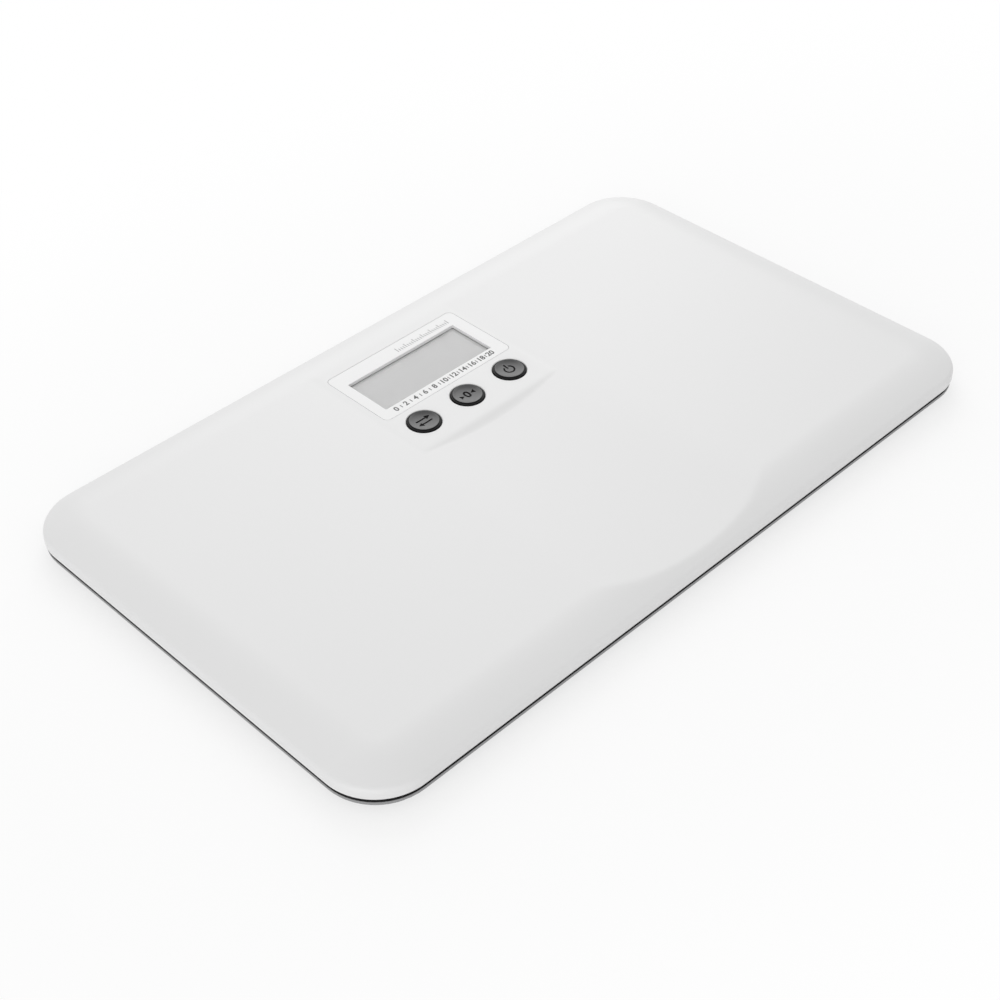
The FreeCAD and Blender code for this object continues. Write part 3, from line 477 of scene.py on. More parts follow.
def quarter(middle_radius, middle_level, radius, start, end, steps=4):
    """Rings along an arc of a profile. The angles are in degrees, from outwards to up."""
    rings = []
    for step in range(1, steps + 1):
        turn = math.radians(start + (end - start) * step / steps)
        out, up = radius * math.cos(turn), radius * math.sin(turn)
        rings.append((middle_radius + out, middle_level + up))
    return rings


def apply_modifier(thing, kind, **settings):
    """Adds a modifier, sets it up and applies it."""
    take(thing)
    modifier = thing.modifiers.new(kind.lower(), kind)
    for key, value in settings.items():
        setattr(modifier, key, value)
    bpy.ops.object.modifier_apply(modifier=modifier.name)


def combine(thing, other, **settings):
    """Works another mesh into a piece and throws that mesh away."""
    apply_modifier(thing, "BOOLEAN", solver="EXACT", object=other, **settings)
    bpy.data.objects.remove(other)


def cut_away(thing, cutter, **settings):
    """Cuts a cutter out of a piece."""
    combine(thing, cutter, operation="DIFFERENCE", **settings)


def grow(thing, part):
    """Makes a part one with a piece."""
    combine(thing, part, operation="UNION")


def joined(things):
    """Several meshes as one object."""
    take(things[0])
    for thing in things[1:]:
        thing.select_set(True)
    bpy.ops.object.join()
    return bpy.context.object


def written(words, height, x, y, level, thickness, weight):
    """Plain figures as a thin mesh, centred on a place and made bolder by a weight."""
    figure_share = 0.73
    deselect()
    bpy.ops.object.text_add(location=(x, y, level), rotation=(0.0, 0.0, 0.0))
    data = bpy.context.object.data
    data.body, data.size, data.extrude = words, height / figure_share, thickness / 2
    data.align_x, data.align_y, data.offset = "CENTER", "CENTER", weight
    bpy.ops.object.convert(target="MESH")
    shape(bpy.context.object)
    bpy.ops.transform.translate(value=(0.0, 0.0, thickness / 2))
    return done()


def bar(x, y, size, level, thickness):
    """A thin block, which stands on a level."""
    deselect()
    bpy.ops.mesh.primitive_cube_add(size=1.0, location=(x, y, level + thickness / 2))
    bpy.ops.object.mode_set(mode="EDIT")
    bpy.ops.transform.resize(value=(*size, thickness), orient_type="LOCAL")
    return done()


def smooth(thing, degrees=30.0):
    """Shades a piece smooth up to an angle, with large faces kept flat."""
    take(thing)
    bpy.ops.object.shade_smooth_by_angle(angle=math.radians(degrees))
    apply_modifier(thing, "WEIGHTED_NORMAL", keep_sharp=True, weight=80)


def copied(thing, shift):
    """A copy with its own mesh, moved inside that mesh."""
    twin = thing.copy()
    twin.data = thing.data.copy()
    bpy.context.scene.collection.objects.link(twin)
    take(twin)
    twin.location = shift
    bpy.ops.object.transform_apply(location=True, rotation=True, scale=True)
    return twin


def finished(thing, name, body, slot, nodes, *materials):
    """Names a piece, gives it its finish and hangs it on its body for its nodes."""
    thing.name = name
    thing.data.name = name
    if materials:
        thing.data.materials.clear()
        for material in materials:
            thing.data.materials.append(material)
    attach(thing, body)
    if nodes:
        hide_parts(*nodes)
    return thing


# ---------------------------------------------------------------- top cover


PANEL_CORNER = 4 * MM
WINDOW_OVERLAP = 3 * MM
CUT_REACH = 84


def smooth_low(first, second, reach):
    """The lower of two heights, rounded where they cross."""
    near = max(reach - abs(first - second), 0.0)
    return min(first, second) - (near * near / (4 * reach) if reach else 0.0)


def smooth_high(first, second, reach):
    """The higher of two heights, rounded where they cross."""
    return -smooth_low(-first, -second, reach)


class CoverForm:
    """The heights of the cover's upper face."""

    TURN = math.radians(65.0)
    SIDE_STEPS, SHOULDER_STEPS = 10, 22
    SEAL_GAP = 0.1 * MM
    TROUGH_START = -155 * MM
    CREST_SLOPE = 0.19
    STEEPENING = 9.5
    SIDE_FALL = 14.0
    CREST_SOFT, TROUGH_EDGE_SOFT, ISLAND_EDGE_SOFT = 0.45 * MM, 0.6 * MM, 1.1 * MM

    def __init__(self):
        low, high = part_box("top_cover")
        self.size = sizes()
        self.top = high.z
        self.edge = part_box("edge_seal")[1].z + self.SEAL_GAP
        self.half_width, self.half_length = high.y, high.x
        side, wide = self.size.side_round, self.size.shoulder_round
        self.side_inset = side * (1 - math.cos(self.TURN))
        self.shoulder_inset = self.side_inset + wide * math.cos(self.TURN)
        rise = side * math.sin(self.TURN) + wide * (1 - math.sin(self.TURN))
        self.side_top = self.top - rise

    def rings(self):
        """How far in each ring of the shoulder lies."""
        insets = []
        for step in range(1, self.SIDE_STEPS + 1):
            turn = self.TURN * step / self.SIDE_STEPS
            insets.append(self.size.side_round * (1 - math.cos(turn)))
        wide = self.shoulder_inset - self.side_inset
        for step in range(1, self.SHOULDER_STEPS + 1):
            insets.append(self.side_inset + wide * step / self.SHOULDER_STEPS)
        return insets

    def shoulder(self, inset):
        """The level of the shoulder at a distance from the side."""
        if inset <= self.side_inset:
            side = self.size.side_round
            return self.side_top + math.sqrt(max(side**2 - (side - inset) ** 2, 0.0))
        wide = self.size.shoulder_round
        left = max(self.shoulder_inset - inset, 0.0)
        return self.top - wide + math.sqrt(wide**2 - left**2)

    def trough(self, x, y):
        """How deep the trough is, at its own shallow round section."""
        size = self.size
        run = size.island_front - self.TROUGH_START
        front = min(max((size.island_front - y) / run, 0.0), 1.0)
        half = size.trough_half + (size.trough_front_half - size.trough_half) * front
        depth = size.trough_depth + (size.trough_front_depth - size.trough_depth) * front
        return smooth_high(depth * (1 - (x / half) ** 2), 0.0, size.trough_soft)

    def island(self, x, y):
        """The level top of the island, its soft sides and its ever steeper front."""
        size = self.size
        beyond = max(abs(x) - size.island_half, 0.0)
        plateau = self.top - self.SIDE_FALL * beyond**2
        run = size.island_front - y
        face = self.top - self.CREST_SLOPE * run - self.STEEPENING * max(run, 0.0) ** 2
        return smooth_low(plateau, face, self.CREST_SOFT)

    def level(self, x, y):
        """The level of the whole upper face."""
        open_level = self.shoulder(self.half_width - abs(y))
        depth = self.trough(x, y)
        soft = min(self.TROUGH_EDGE_SOFT, 0.5 * depth)
        sunk = smooth_low(open_level, self.top - depth, soft)
        stand = min(self.island(x, y), open_level)
        return smooth_high(sunk, stand, min(self.ISLAND_EDGE_SOFT, 0.5 * depth))


def cut_line(place, direction):
    """In edit mode, cuts the whole mesh along a plane."""
    bpy.ops.mesh.select_all(action="SELECT")
    bpy.ops.mesh.bisect(plane_co=place, plane_no=direction)


def cover_columns():
    """Where the cover is cut lengthways for the trough."""
    return [x * MM for x in range(-CUT_REACH, CUT_REACH + 1, 2)]


def cover_rows(form):
    """Where the cover is cut across, closely at the island's front."""
    front, coarse, fine = form.size.island_front, 3, 0.6
    rows = [y * MM for y in range(-131, 17, coarse)]
    rows += [front + step * fine * MM for step in range(-14, 5)]
    rows += [y * MM for y in range(32, 132, coarse)]
    return rows


def screw_places():
    """Where the case's twelve screws are, three to each corner."""
    quarter_places = ((259.0, 57.5), (60.0, 147.0), (142.5, 147.0))
    return [
        (side * x * MM, end * y * MM)
        for side in (-1, 1)
        for end in (-1, 1)
        for x, y in quarter_places
    ]


def bored_post(x, y, radius, bottom, top, depth):
    """A post with a screw's bore in its lower end."""
    bore = 1.4 * MM
    rings = [(bore, bottom + depth), (bore, bottom), (radius, bottom), (radius, top)]
    return turned(rings, x, y, 24)


def cover_inside(form):
    """The ribs under both wings of the cover, and the posts for its screws."""
    under = form.top - form.size.cover_wall
    parts = []
    depth, thin, into = 2.3 * MM, 1.6 * MM, 1.0 * MM
    near, far, wide = 98.0 * MM, 242.0 * MM, 220.0 * MM
    case_post, board_post = 3.5 * MM, 3.0 * MM
    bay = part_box("battery_plates")[1].x + 2.6 * MM
    for side in (-1, 1):
        for step in range(4):
            x = side * (near + (far - near) * step / 3)
            parts.append(bar(x, 0.0, (thin, wide), under - depth, depth + into))
        for line in (-1, 0, 1):
            start = bay if side > 0 and line < 0 else near
            size = (far - start, thin)
            middle = side * (start + far) / 2
            parts.append(bar(middle, line * wide / 4, size, under - depth, depth + into))
    foot_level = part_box("base_tray")[0].z + 7.0 * MM
    head_level, bore_depth = under - 0.5 * MM, 8.0 * MM
    for x, y in screw_places():
        parts.append(bored_post(x, y, case_post, foot_level, head_level, bore_depth))
    low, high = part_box("circuit_board")
    head_level, bore_depth, inset = under + 0.4 * MM, 5.0 * MM, 4 * MM
    for x in (low.x + inset, high.x - inset):
        for y in (low.y + inset, high.y - inset):
            parts.append(bored_post(x, y, board_post, high.z, head_level, bore_depth))
    return parts


def cover_skin(form):
    """The cover's outside: its outline, wall, shoulder and heights."""
    reach, near = (CUT_REACH + 0.5) * MM, 0.1 * MM
    size = (2 * form.half_length, 2 * form.half_width)
    skin = rounded_plate(size, form.size.corner_round, (0.0, 0.0), form.edge, 24)
    shape(skin)
    raise_by(form.side_top - form.edge)
    inset, level = 0.0, form.side_top
    for ring in form.rings():
        bpy.ops.mesh.inset(thickness=ring - inset, depth=form.shoulder(ring) - level)
        inset, level = ring, form.shoulder(ring)
    select_faces(lambda spot: spot.z < form.edge + near)
    bpy.ops.mesh.delete(type="FACE")
    for x in cover_columns():
        cut_line((x, 0.0, 0.0), (1.0, 0.0, 0.0))
    for y in cover_rows(form):
        cut_line((0.0, y, 0.0), (0.0, 1.0, 0.0))
    bpy.ops.mesh.select_all(action="SELECT")
    bpy.ops.mesh.remove_doubles(threshold=0.01 * MM)
    face_outwards()
    mesh = bmesh.from_edit_mesh(skin.data)
    for vert in mesh.verts:
        if abs(vert.co.x) < reach and vert.co.z > form.side_top + near:
            vert.co.z = min(vert.co.z, form.level(vert.co.x, vert.co.y))
    bmesh.update_edit_mesh(skin.data)
    return done()


def flared_rod(radius, x, y, bottom, top, flare):
    """A round cutter whose upper end widens in a quarter round, below level top."""
    rings = [(radius, bottom), (radius, top - flare)]
    rings += quarter(radius + flare, top - flare, flare, 180.0, 90.0)
    rings.append((radius + flare, top + 3 * MM))
    return turned(rings, x, y)


def make_cover():
    """The satin white platform cover with its trough, island, recess and holes."""
    form = CoverForm()
    size = form.size
    cover = cover_skin(form)
    apply_modifier(
        cover, "SOLIDIFY", thickness=size.cover_wall, offset=-1.0, use_even_offset=True
    )
    for part in cover_inside(form):
        grow(cover, part)
    hole_radius, gap, above = 11.75 * MM, size.panel_gap, form.top + 3 * MM
    low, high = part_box("display_panel")
    middle, recess_size = middle_of(low, high), extent_of(low, high, gap)
    recess = rounded_block(recess_size, PANEL_CORNER + gap, middle, low.z, above)
    holes, below = [], form.top - 6 * MM
    for side in SIDES:
        low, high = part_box("button_cap_" + side)
        x, y = middle_of(low, high)
        holes.append(flared_rod(hole_radius, x, y, below, form.top, size.hole_round))
    cut_away(cover, joined([recess, *holes]))
    cut_away(cover, display_opening(form.top - 8 * MM, above))
    smooth(cover)
    finish = satin_plastic("satin white plastic", palette().cover)
    finished(cover, "platform_cover", "case", "cover_white", ["top_cover"], finish)


def display_opening(bottom, top):
    """The cutter of the display's opening."""
    low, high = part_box("display_window")
    size = extent_of(low, high, -WINDOW_OVERLAP)
    return rounded_block(size, 0.6 * MM, middle_of(low, high), bottom, top, 4)


class ScaleCover(bpy.types.Operator):
    """Makes the white platform cover"""

    bl_idname = "scale.cover"
    bl_label = "Top cover"

    def execute(self, context):
        make_cover()
        return {"FINISHED"}


# ---------------------------------------------------------------- display


def round_upper_edge(plate, top, width):
    """Rounds the edges round a plate's upper face."""
    shape(plate)
    select_faces(lambda spot: spot.z > top - 0.01 * MM)
    bpy.ops.mesh.region_to_loop()
    bpy.ops.mesh.bevel(offset=width, segments=3, affect="EDGES")
    done()


def make_panel():
    """The white plate round the display, with its opening."""
    low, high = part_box("display_panel")
    top = high.z
    middle, size = middle_of(low, high), extent_of(low, high)
    panel = rounded_block(size, PANEL_CORNER, middle, low.z, top, 12)
    round_upper_edge(panel, top, 0.12 * MM)
    cut_away(panel, display_opening(low.z - MM, top + MM))
    smooth(panel)
    finish = moulded_plastic(
        "panel film", palette().panel, 1 * MM, 0.002 * MM, roughness=0.42, drift=0.01
    )
    finished(panel, "panel_plate", "case", "panel_white", ["display_panel"], finish)
    return top


def make_print(top):
    """The plain figures and short lines on the panel."""
    height, weight = sizes().print_height, 0.16 * MM
    _, opening_high, opening_low = display_span()
    row = opening_low - 4.4 * MM
    dark, pale = [], []
    count, pitch, line = 11, 8.6 * MM, (0.6 * MM, 3.0 * MM)
    for number in range(count):
        x = (number - (count - 1) / 2) * pitch
        figure = str(2 * number)
        dark.append(written(figure, sizes().digit_height, x, row, top, height, weight))
        if number < count - 1:
            dark.append(bar(x + pitch / 2, row, line, top, height))
    ruler, start, pitch, width = opening_high + 3.4 * MM, 1.0 * MM, 1.95 * MM, 0.55 * MM
    long_line, short_line = 4.6 * MM, 2.8 * MM
    for number in range(25):
        tall = short_line if number % 4 else long_line
        x = start + number * pitch
        pale.append(bar(x, ruler + tall / 2, (width, tall), top, height))
    for name, parts, tone in (
        ("panel_figures", dark, (0.06, 0.06, 0.06)),
        ("panel_ruler", pale, (0.3, 0.3, 0.3)),
    ):
        title = name.replace("_", " ")
        ink = moulded_plastic(title, tone, 0.5 * MM, 0.002 * MM, roughness=0.5)
        finished(joined(parts), name, "case", "panel_white", [], ink)


def display_span():
    """Half the opening's length, and the places of its back and front edges."""
    low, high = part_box("display_window")
    half = (high.x - low.x) / 2 - WINDOW_OVERLAP
    return half, high.y - WINDOW_OVERLAP, low.y + WINDOW_OVERLAP


def make_window():
    """The clear pane, level with the opening's floor, and the display behind it."""
    half, back, front = display_span()
    middle = (0.0, (back + front) / 2)
    low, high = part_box("display_window")
    raised, into, skin = high.z + 0.1 * MM, 0.3 * MM, 0.3 * MM
    pane = rounded_block(extent_of(low, high), MM, middle, low.z, high.z, 4)
    lens_size = (2 * half - 0.2 * MM, back - front - 0.2 * MM)
    grow(pane, rounded_block(lens_size, 0.5 * MM, middle, high.z - into, raised, 4))
    room_size = (lens_size[0] - 0.4 * MM, lens_size[1] - 0.4 * MM)
    below = low.z - MM
    cut_away(pane, rounded_block(room_size, 0.4 * MM, middle, below, raised - skin, 4))
    smooth(pane)
    clear = clear_plastic("pane")
    finished(pane, "display_pane", "case", "clear_window", ["display_window"], clear)
    low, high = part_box("lcd_glass")
    glass = rounded_block(extent_of(low, high), 0.4 * MM, middle, low.z, high.z, 2)
    face_size = (room_size[0] - 0.1 * MM, room_size[1] - 0.1 * MM)
    face_level = raised - skin - 0.03 * MM
    grow(glass, rounded_block(face_size, 0.35 * MM, middle, high.z - into, face_level, 2))
    smooth(glass)
    finish = moulded_plastic(
        "display glass", palette().display, 2 * MM, 0.001 * MM, roughness=0.35, drift=0.02
    )
    finished(glass, "display_glass", "case", "lcd_grey", ["lcd_glass"], finish)


class ScaleDisplay(bpy.types.Operator):
    """Makes the display panel, its print, its window and its glass"""

    bl_idname = "scale.display"
    bl_label = "Display"

    def execute(self, context):
        make_print(make_panel())
        make_window()
        return {"FINISHED"}


# ---------------------------------------------------------------- buttons


CAP_DISC = 10.0 * MM
STROKE = 1.25 * MM


def cap_rings(low, high):
    """The profile of a button cap: flange, rounded ring, small step and dished top."""
    top, radius, flange = high.z, 11.5 * MM, 12.75 * MM
    flange_top = low.z + 1.9 * MM
    shoulder, soft, edge = top - 0.7 * MM, 0.7 * MM, 0.3 * MM
    rings = [(flange, low.z + MM), (flange, flange_top)]
    rings += [(radius, flange_top), (radius, shoulder - soft)]
    rings += quarter(radius - soft, shoulder - soft, soft, 0.0, 90.0, 8)
    rings.append((CAP_DISC + 0.25 * MM, shoulder - 0.05 * MM))
    rings += [(CAP_DISC, shoulder + 0.1 * MM), (CAP_DISC, top - edge)]
    inner = CAP_DISC - edge
    rings += quarter(inner, top - edge, edge, 0.0, 90.0, 4)
    reach, steepness, steps = 0.93, 2.5, 8
    for step in range(1, steps + 1):
        share = 1 - reach * step / steps
        rings.append((inner * share, top - sizes().dish * (1 - share**steepness)))
    return rings


def mark_arrows(x, y, level, thickness):
    """Two opposite arrows."""
    shaft, head, tip = (8.4 * MM, STROKE), 2.4 * MM, 4.0 * MM
    parts = []
    for side in (-1, 1):
        row = y + side * 2.1 * MM
        parts.append(bar(x - side * MM, row, shaft, level, thickness))
        parts.append(arrow_head(x + side * tip, row, side, level, thickness, head))
    return parts


def arrow_head(x, y, side, level, thickness, radius):
    """A small triangle that points to one side."""
    deselect()
    bpy.ops.mesh.primitive_cylinder_add(
        vertices=3,
        radius=radius,
        depth=thickness,
        location=(x, y, level + thickness / 2),
        rotation=(0.0, 0.0, -side * math.pi / 2),
    )
    return done()


def mark_nought(x, y, level, thickness):
    """A nought between two arrow heads."""
    height, weight, apart, head = 6.6 * MM, 0.3 * MM, 5.0 * MM, 2.2 * MM
    parts = [written("0", height, x, y, level, thickness, weight)]
    for side in (-1, 1):
        parts.append(arrow_head(x - side * apart, y, side, level, thickness, head))
    return parts


def mark_power(x, y, level, thickness):
    """A ring that is open at the back, with a short bar in the opening."""
    radius, gap, line = 4.1 * MM, (3.4 * MM, 3.0 * MM), (STROKE, 4.8 * MM)
    ring = turned([(radius, level), (radius, level + thickness)], x, y, 48)
    inner = radius - STROKE
    hole = [(inner, level - MM), (inner, level + 2 * thickness + MM)]
    cut_away(ring, turned(hole, x, y, 48))
    cut_away(ring, bar(x, y + radius, gap, level - MM, thickness + 2 * MM))
    return [ring, bar(x, y + radius - 0.7 * MM, line, level, thickness)]


def make_buttons():
    """Three round caps, each with its own engraved mark."""
    # The ring's copy of the cap plastic is darker and duller than the disc's: painted shade
    # on the rings.
    ring = dark_plastic("cap ring painted shade", palette().buttons, 0.35, 0.1)
    disc = dark_plastic("cap disc", palette().cap_discs, 0.27, 0.45)
    ink = dark_plastic("cap ink", (0.004, 0.004, 0.004), 0.6, 0.1)
    marks = (mark_arrows, mark_nought, mark_power)
    low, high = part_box("button_cap_middle")
    x0, y0 = middle_of(low, high)
    cap = turned(cap_rings(low, high), x0, y0)
    for material in (ring, disc, ink):
        cap.data.materials.append(material)
    top = high.z
    floor = top - sizes().dish - sizes().mark_depth
    reach, depth = CAP_DISC - 0.02 * MM, 1.2 * MM
    shape(cap)
    select_faces(
        lambda spot: spot.z > top - depth and math.hypot(spot.x - x0, spot.y - y0) < reach
    )
    cap.active_material_index = 1
    bpy.ops.object.material_slot_assign()
    cap = done()
    for side, mark in zip(SIDES, marks):
        low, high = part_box("button_cap_" + side)
        x, y = middle_of(low, high)
        twin = copied(cap, (x - x0, y - y0, 0.0))
        for part in mark(x, y, floor, 3 * MM):
            part.data.materials.clear()
            part.data.materials.append(ink)
            cut_away(twin, part, material_mode="TRANSFER")
        smooth(twin, 35.0)
        nodes = ["button_cap_" + side]
        finished(twin, "cap_" + side, "button_" + side, "button_dark", nodes)
    bpy.data.objects.remove(cap)


class ScaleButtons(bpy.types.Operator):
    """Makes the three button caps with their marks"""

    bl_idname = "scale.buttons"
    bl_label = "Buttons"

    def execute(self, context):
        make_buttons()
        return {"FINISHED"}


# ---------------------------------------------------------------- underside


def corner_shift(node, corner):
    """How far a corner's node lies from the front left one."""
    low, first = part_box(node + corner)[0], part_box(node + CORNERS[0])[0]
    return (low.x - first.x, low.y - first.y, 0.0)


def at_corners(first, name, node, slot, finish):
    """Puts copies of a piece at all four corners, and throws the first one away."""
    smooth(first)
    for corner in CORNERS:
        twin = copied(first, corner_shift(node, corner))
        finished(twin, name + corner, "case", slot, [node + corner], finish)
    bpy.data.objects.remove(first)


def make_feet():
    """Four feet: a disc with rounded edges and a groove, on its stem."""
    low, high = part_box("foot_" + CORNERS[0])
    radius, stem, soft = (high.x - low.x) / 2, 5 * MM, 0.6 * MM
    face, groove = low.z + 4.4 * MM, 0.35
    rings = [(stem, high.z), (stem, face), (radius - soft, face)]
    rings += quarter(radius - soft, face - soft, soft, 90.0, 0.0)
    for level, inset in ((2.9, 0.0), (2.7, groove), (2.2, groove), (2.0, 0.0)):
        rings.append((radius - inset * MM, low.z + level * MM))
    rings += quarter(radius - soft, low.z + soft, soft, 0.0, -90.0)
    grey = (0.33, 0.33, 0.34)
    finish = moulded_plastic("foot plastic", grey, 0.8 * MM, 0.02 * MM, roughness=0.5)
    foot = turned(rings, *middle_of(low, high), 72)
    at_corners(foot, "disc_", "foot_", "foot_grey", finish)


def make_pads():
    """Four rubber pads with three round grooves in each."""
    low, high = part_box("foot_pad_" + CORNERS[0])
    radius, soft, groove = (high.x - low.x) / 2, 0.3 * MM, 0.45 * MM
    rings = [(radius, high.z), (radius, low.z + soft)]
    rings += quarter(radius - soft, low.z + soft, soft, 0.0, -90.0)
    for outer in (11.2, 8.2, 5.2):
        for step, depth in ((0.0, 0.0), (0.2, groove), (1.2, groove), (1.4, 0.0)):
            rings.append(((outer - step) * MM, low.z + depth))
    black = (0.09, 0.09, 0.09)
    finish = moulded_plastic("foot rubber", black, 0.7 * MM, 0.05 * MM, roughness=0.8)
    pad = turned(rings, *middle_of(low, high), 72)
    at_corners(pad, "pad_", "foot_pad_", "foot_rubber", finish)


SCREW_STEEL = (0.5, 0.5, 0.51)


def make_screws():
    """Twelve pan head screws, each with a cross in its head and a thread."""
    low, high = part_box("cover_screws")
    x, y = screw_places()[0]
    head, root, thread, point = 2.5 * MM, 1.0 * MM, 1.3 * MM, 0.3 * MM
    seat = low.z + 1.8 * MM
    rings = [(1.7 * MM, low.z), (2.2 * MM, low.z + 0.12 * MM), (head, low.z + 0.6 * MM)]
    rings += [(head, seat), (root, seat)]
    turns, point_length = 11, 0.8 * MM
    pitch = (high.z - point_length - seat) / turns
    for turn in range(turns):
        level = seat + turn * pitch
        rings += [(root, level + 0.35 * pitch), (thread, level + 0.6 * pitch)]
        rings.append((root, level + 0.95 * pitch))
    rings.append((point, high.z))
    screw = turned(rings, x, y, 24)
    long, narrow, over, cross_height = 2.9 * MM, 0.65 * MM, 0.3 * MM, 1.3 * MM
    for size in ((long, narrow), (narrow, long)):
        cut_away(screw, bar(x, y, size, low.z - over, cross_height))
    smooth(screw, 40.0)
    screws = [screw]
    for next_x, next_y in screw_places()[1:]:
        screws.append(copied(screw, (next_x - x, next_y - y, 0.0)))
    finish = metal("plated screw steel", SCREW_STEEL, 0.3)
    finished(joined(screws), "case_screws", "case", "screw_steel", ["cover_screws"], finish)


def make_door_marks():
    """Three ribs in the door's finger scoop and a small raised arrow beside it."""
    low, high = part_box("battery_door")
    y = middle_of(low, high)[1]
    grip, pitch, rib, tall = high.x - 7.0 * MM, 1.6 * MM, (0.7 * MM, 12 * MM), 0.8 * MM
    scoop = low.z + 0.35 * MM
    parts = [bar(grip + step * pitch, y, rib, scoop, tall) for step in (-1, 0, 1)]
    tip, head, tail, shaft = high.x - 14.5 * MM, 2.2 * MM, 4 * MM, (5 * MM, 1.1 * MM)
    level, thick = low.z - 0.15 * MM, 0.3 * MM
    parts.append(arrow_head(tip, y, -1, level, thick, head))
    parts.append(bar(tip - tail, y, shaft, level, thick))
    grey = palette().base
    finish = moulded_plastic("door plastic", grey, 0.8 * MM, 0.02 * MM, roughness=0.45)
    finished(joined(parts), "door_marks", "battery_door", "base_grey", [], finish)


class ScaleFeet(bpy.types.Operator):
    """Makes the feet with their rubber pads"""

    bl_idname = "scale.feet"
    bl_label = "Feet"

    def execute(self, context):
        make_feet()
        make_pads()
        return {"FINISHED"}


class ScaleFasteners(bpy.types.Operator):
    """Makes the case's screws and the marks on the battery door"""

    bl_idname = "scale.fasteners"
    bl_label = "Screws and door marks"

    def execute(self, context):
        make_screws()
        make_door_marks()
        return {"FINISHED"}


class ScaleBase(bpy.types.Operator):
    """Finishes the base tray, the battery door and the seal, whose black paints the shade
    in the gap under the cover
    """

    bl_idname = "scale.base"
    bl_label = "Base"

    def execute(self, context):
        grey, black = palette().base, (0.01, 0.01, 0.01)
        dress(
            ["base_tray", "battery_door"],
            moulded_plastic("grey plastic", grey, 0.8 * MM, 0.03 * MM, roughness=0.5),
        )
        # The seal is black to paint the shade in the gap between the cover and the tray.
        dress(["edge_seal"], dark_plastic("seal painted gap shade", black, roughness=0.75, gloss=0.12))
        return {"FINISHED"}


class ScaleInside(bpy.types.Operator):
    """Finishes what is inside the case"""

    bl_idname = "scale.inside"
    bl_label = "Inside"

    def execute(self, context):
        holders = ("cell_holder", "switch_body", "lcd_frame", "controller_chip")
        leads = ("sensor_lead", "battery_lead")
        for starts, name, base, grain, depth, roughness in (
            (holders, "black plastic", (0.025, 0.025, 0.025), 0.6, 0.02, 0.5),
            (("switch_plunger",), "switch plunger", (0.75, 0.75, 0.73), 0.6, 0.02, 0.4),
            (("lcd_contact_strip",), "strip rubber", (0.35, 0.2, 0.25), 0.4, 0.02, 0.7),
            (leads, "lead sleeve", (0.45, 0.45, 0.46), 0.5, 0.01, 0.45),
        ):
            finish = moulded_plastic(name, base, grain * MM, depth * MM, roughness)
            dress(nodes_named(*starts), finish)
        contacts = ("battery_springs", "battery_plates")
        for starts, name, base, roughness, along in (
            (("load_cell",), "cell steel", (0.62, 0.62, 0.6), 0.32, (1, 20, 1)),
            (contacts, "contact steel", (0.7, 0.7, 0.7), 0.22, (1, 1, 12)),
            (("board_screws", "holder_screws"), "screw steel", SCREW_STEEL, 0.3, (1, 1, 1)),
        ):
            dress(nodes_named(*starts), metal(name, base, roughness, along))
        dress(["circuit_board"], board_finish())
        dress(["battery_front", "battery_middle", "battery_back"], battery_sleeve())
        return {"FINISHED"}


FLOOR_SIZE, FLOOR_MIDDLE = 12.0, (2.0, -0.5, 0.0)


class ScaleStage(bpy.types.Operator):
    """Sets the floor, the lights and the camera"""

    bl_idname = "scale.stage"
    bl_label = "Stage"

    def execute(self, context):
        deselect()
        bpy.ops.mesh.primitive_plane_add(size=FLOOR_SIZE, location=FLOOR_MIDDLE)
        floor = bpy.context.object
        bpy.ops.object.transform_apply(location=True, rotation=False, scale=False)
        floor.name = "floor"
        floor.data.materials.append(floor_finish())
        world_light()
        soft_lamps()
        main_camera()
        bpy.context.scene.view_settings.view_transform = "Standard"
        return {"FINISHED"}


def seen_straight(finish):
    """1 for a ray from the camera, in a mirror or through glass, and otherwise 0."""
    rays = finish.add("ShaderNodeLightPath", output="Is Camera Ray")
    node = rays.socket.node
    glossy = Wire(finish, node.outputs["Is Glossy Ray"])
    through = Wire(finish, node.outputs["Is Transmission Ray"])
    return rays.or_more(glossy).or_more(through)


def floor_finish():
    """A pale floor that looks white, has a light shadow, and is clear from below."""
    near, far, near_glow, stretch = 0.33, 0.85, 0.7, (1.0, 1.6, 1.0)
    finish = Finish("pale floor")
    seen = seen_straight(finish)
    tint = finish.blend((0.92,) * 3, (1.0,) * 3, seen)
    maths = "ShaderNodeVectorMath"
    spread = finish.add(maths, {0: finish.spot(), 1: stretch}, operation="MULTIPLY")
    away = finish.add(maths, {0: spread}, output="Value", operation="LENGTH")
    span = {"From Min": near, "From Max": far, "To Min": near_glow, "To Max": 1.0}
    share = finish.add(
        "ShaderNodeMapRange", {"Value": away, **span}, interpolation_type="SMOOTHSTEP"
    )
    diffuse = finish.add("ShaderNodeBsdfDiffuse", {"Color": tint})
    glow = finish.add("ShaderNodeEmission", {"Color": WHITE})
    above = finish.mixed(share * seen, diffuse, glow)
    clear = finish.add("ShaderNodeBsdfTransparent")
    below = finish.add("ShaderNodeNewGeometry", output="Backfacing")
    return finish.output(finish.mixed(below, above, clear))


def world_light():
    """An even pale world that looks white to the camera."""
    finish = Finish("studio", "worlds")
    bpy.context.scene.world = finish.owner
    tint = finish.blend((0.69,) * 3, (1.0,) * 3, seen_straight(finish))
    light = finish.add("ShaderNodeBackground", {"Color": tint, "Strength": 1.0})
    finish.add("ShaderNodeOutputWorld", {"Surface": light}, output=None)


LAMPS = (
    ("key", (1.67, 2.12, 1.75), 2.2, 35.4),
    ("fill", (-2.75, -1.45, 0.10), 3.0, 52.0),
)


def soft_lamps():
    """A large soft lamp high behind the object, and a larger one low on its left."""
    for name, spot, size, power in LAMPS:
        lamp = bpy.data.lights.new(name, "AREA")
        lamp.shape, lamp.size, lamp.energy = "SQUARE", size, power
        holder = bpy.data.objects.new(name, lamp)
        bpy.context.scene.collection.objects.link(holder)
        holder.location = spot
        holder.rotation_euler = (-Vector(spot)).to_track_quat("-Z", "Y").to_euler()


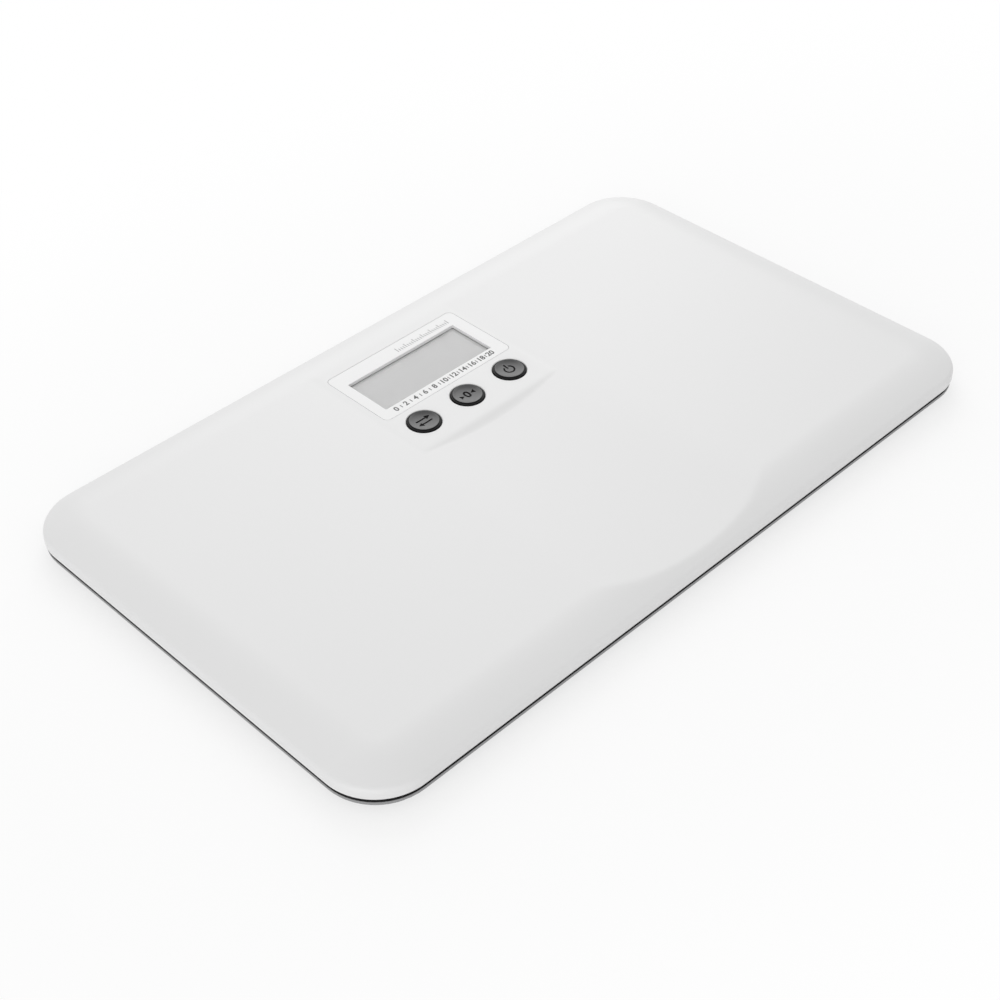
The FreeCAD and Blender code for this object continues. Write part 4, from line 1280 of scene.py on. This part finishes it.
AZIMUTH, ELEVATION, ROLL = (math.radians(a) for a in (-44.51, 40.94, -0.70))
AIM = Vector((-0.0436, -0.0242, 0.005))
CAMERA_DISTANCE = 1.116
LENS, SENSOR = 63.6, 36.0
NEAREST, FARTHEST = 0.01, 50.0


def main_camera():
    """The camera, in front and to the left, looking down on the top."""
    back = Vector(
        (
            math.sin(AZIMUTH) * math.cos(ELEVATION),
            -math.cos(AZIMUTH) * math.cos(ELEVATION),
            math.sin(ELEVATION),
        )
    )
    right = (-back).cross(Vector((0.0, 0.0, 1.0))).normalized()
    up = right.cross(-back)
    across = math.cos(ROLL) * right + math.sin(ROLL) * up
    upward = -math.sin(ROLL) * right + math.cos(ROLL) * up
    data = bpy.data.cameras.new("camera")
    data.sensor_width, data.lens = SENSOR, LENS
    data.clip_start, data.clip_end = NEAREST, FARTHEST
    camera = bpy.data.objects.new("camera", data)
    bpy.context.scene.collection.objects.link(camera)
    turn = Matrix((across, upward, back)).transposed().to_4x4()
    camera.matrix_world = Matrix.Translation(AIM + back * CAMERA_DISTANCE) @ turn
    bpy.context.scene.camera = camera


class ScalePanel(bpy.types.Panel):
    """Lists the steps that make the scale"""

    bl_idname = "VIEW3D_PT_scale"
    bl_label = "Baby weighing scale"
    bl_space_type = "VIEW_3D"
    bl_region_type = "UI"
    bl_category = "Scale"

    def draw(self, context):
        for step in STEPS:
            self.layout.operator(step.bl_idname)
        for group in (context.scene.scale_sizes, context.scene.scale_colours):
            for key in group.bl_rna.properties.keys():
                if key not in {"rna_type", "name"}:
                    self.layout.prop(group, key)


STEPS = (
    ScaleCover,
    ScaleDisplay,
    ScaleButtons,
    ScaleFeet,
    ScaleFasteners,
    ScaleBase,
    ScaleInside,
    ScaleStage,
)
CLASSES = (ScaleSizes, ScaleColours, *STEPS, ScalePanel)


def register():
    """Registers the classes and their settings."""
    for item in CLASSES:
        bpy.utils.register_class(item)
    bpy.types.Scene.scale_sizes = bpy.props.PointerProperty(type=ScaleSizes)
    bpy.types.Scene.scale_colours = bpy.props.PointerProperty(type=ScaleColours)


def unregister():
    """Takes the classes and their settings out again."""
    del bpy.types.Scene.scale_sizes
    del bpy.types.Scene.scale_colours
    for item in reversed(CLASSES):
        bpy.utils.unregister_class(item)


def main():
    """Makes the whole scale."""
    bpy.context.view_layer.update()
    register()
    for step in STEPS:
        group, name = step.bl_idname.split(".")
        getattr(getattr(bpy.ops, group), name)()


if __name__ == "__main__":
    main()
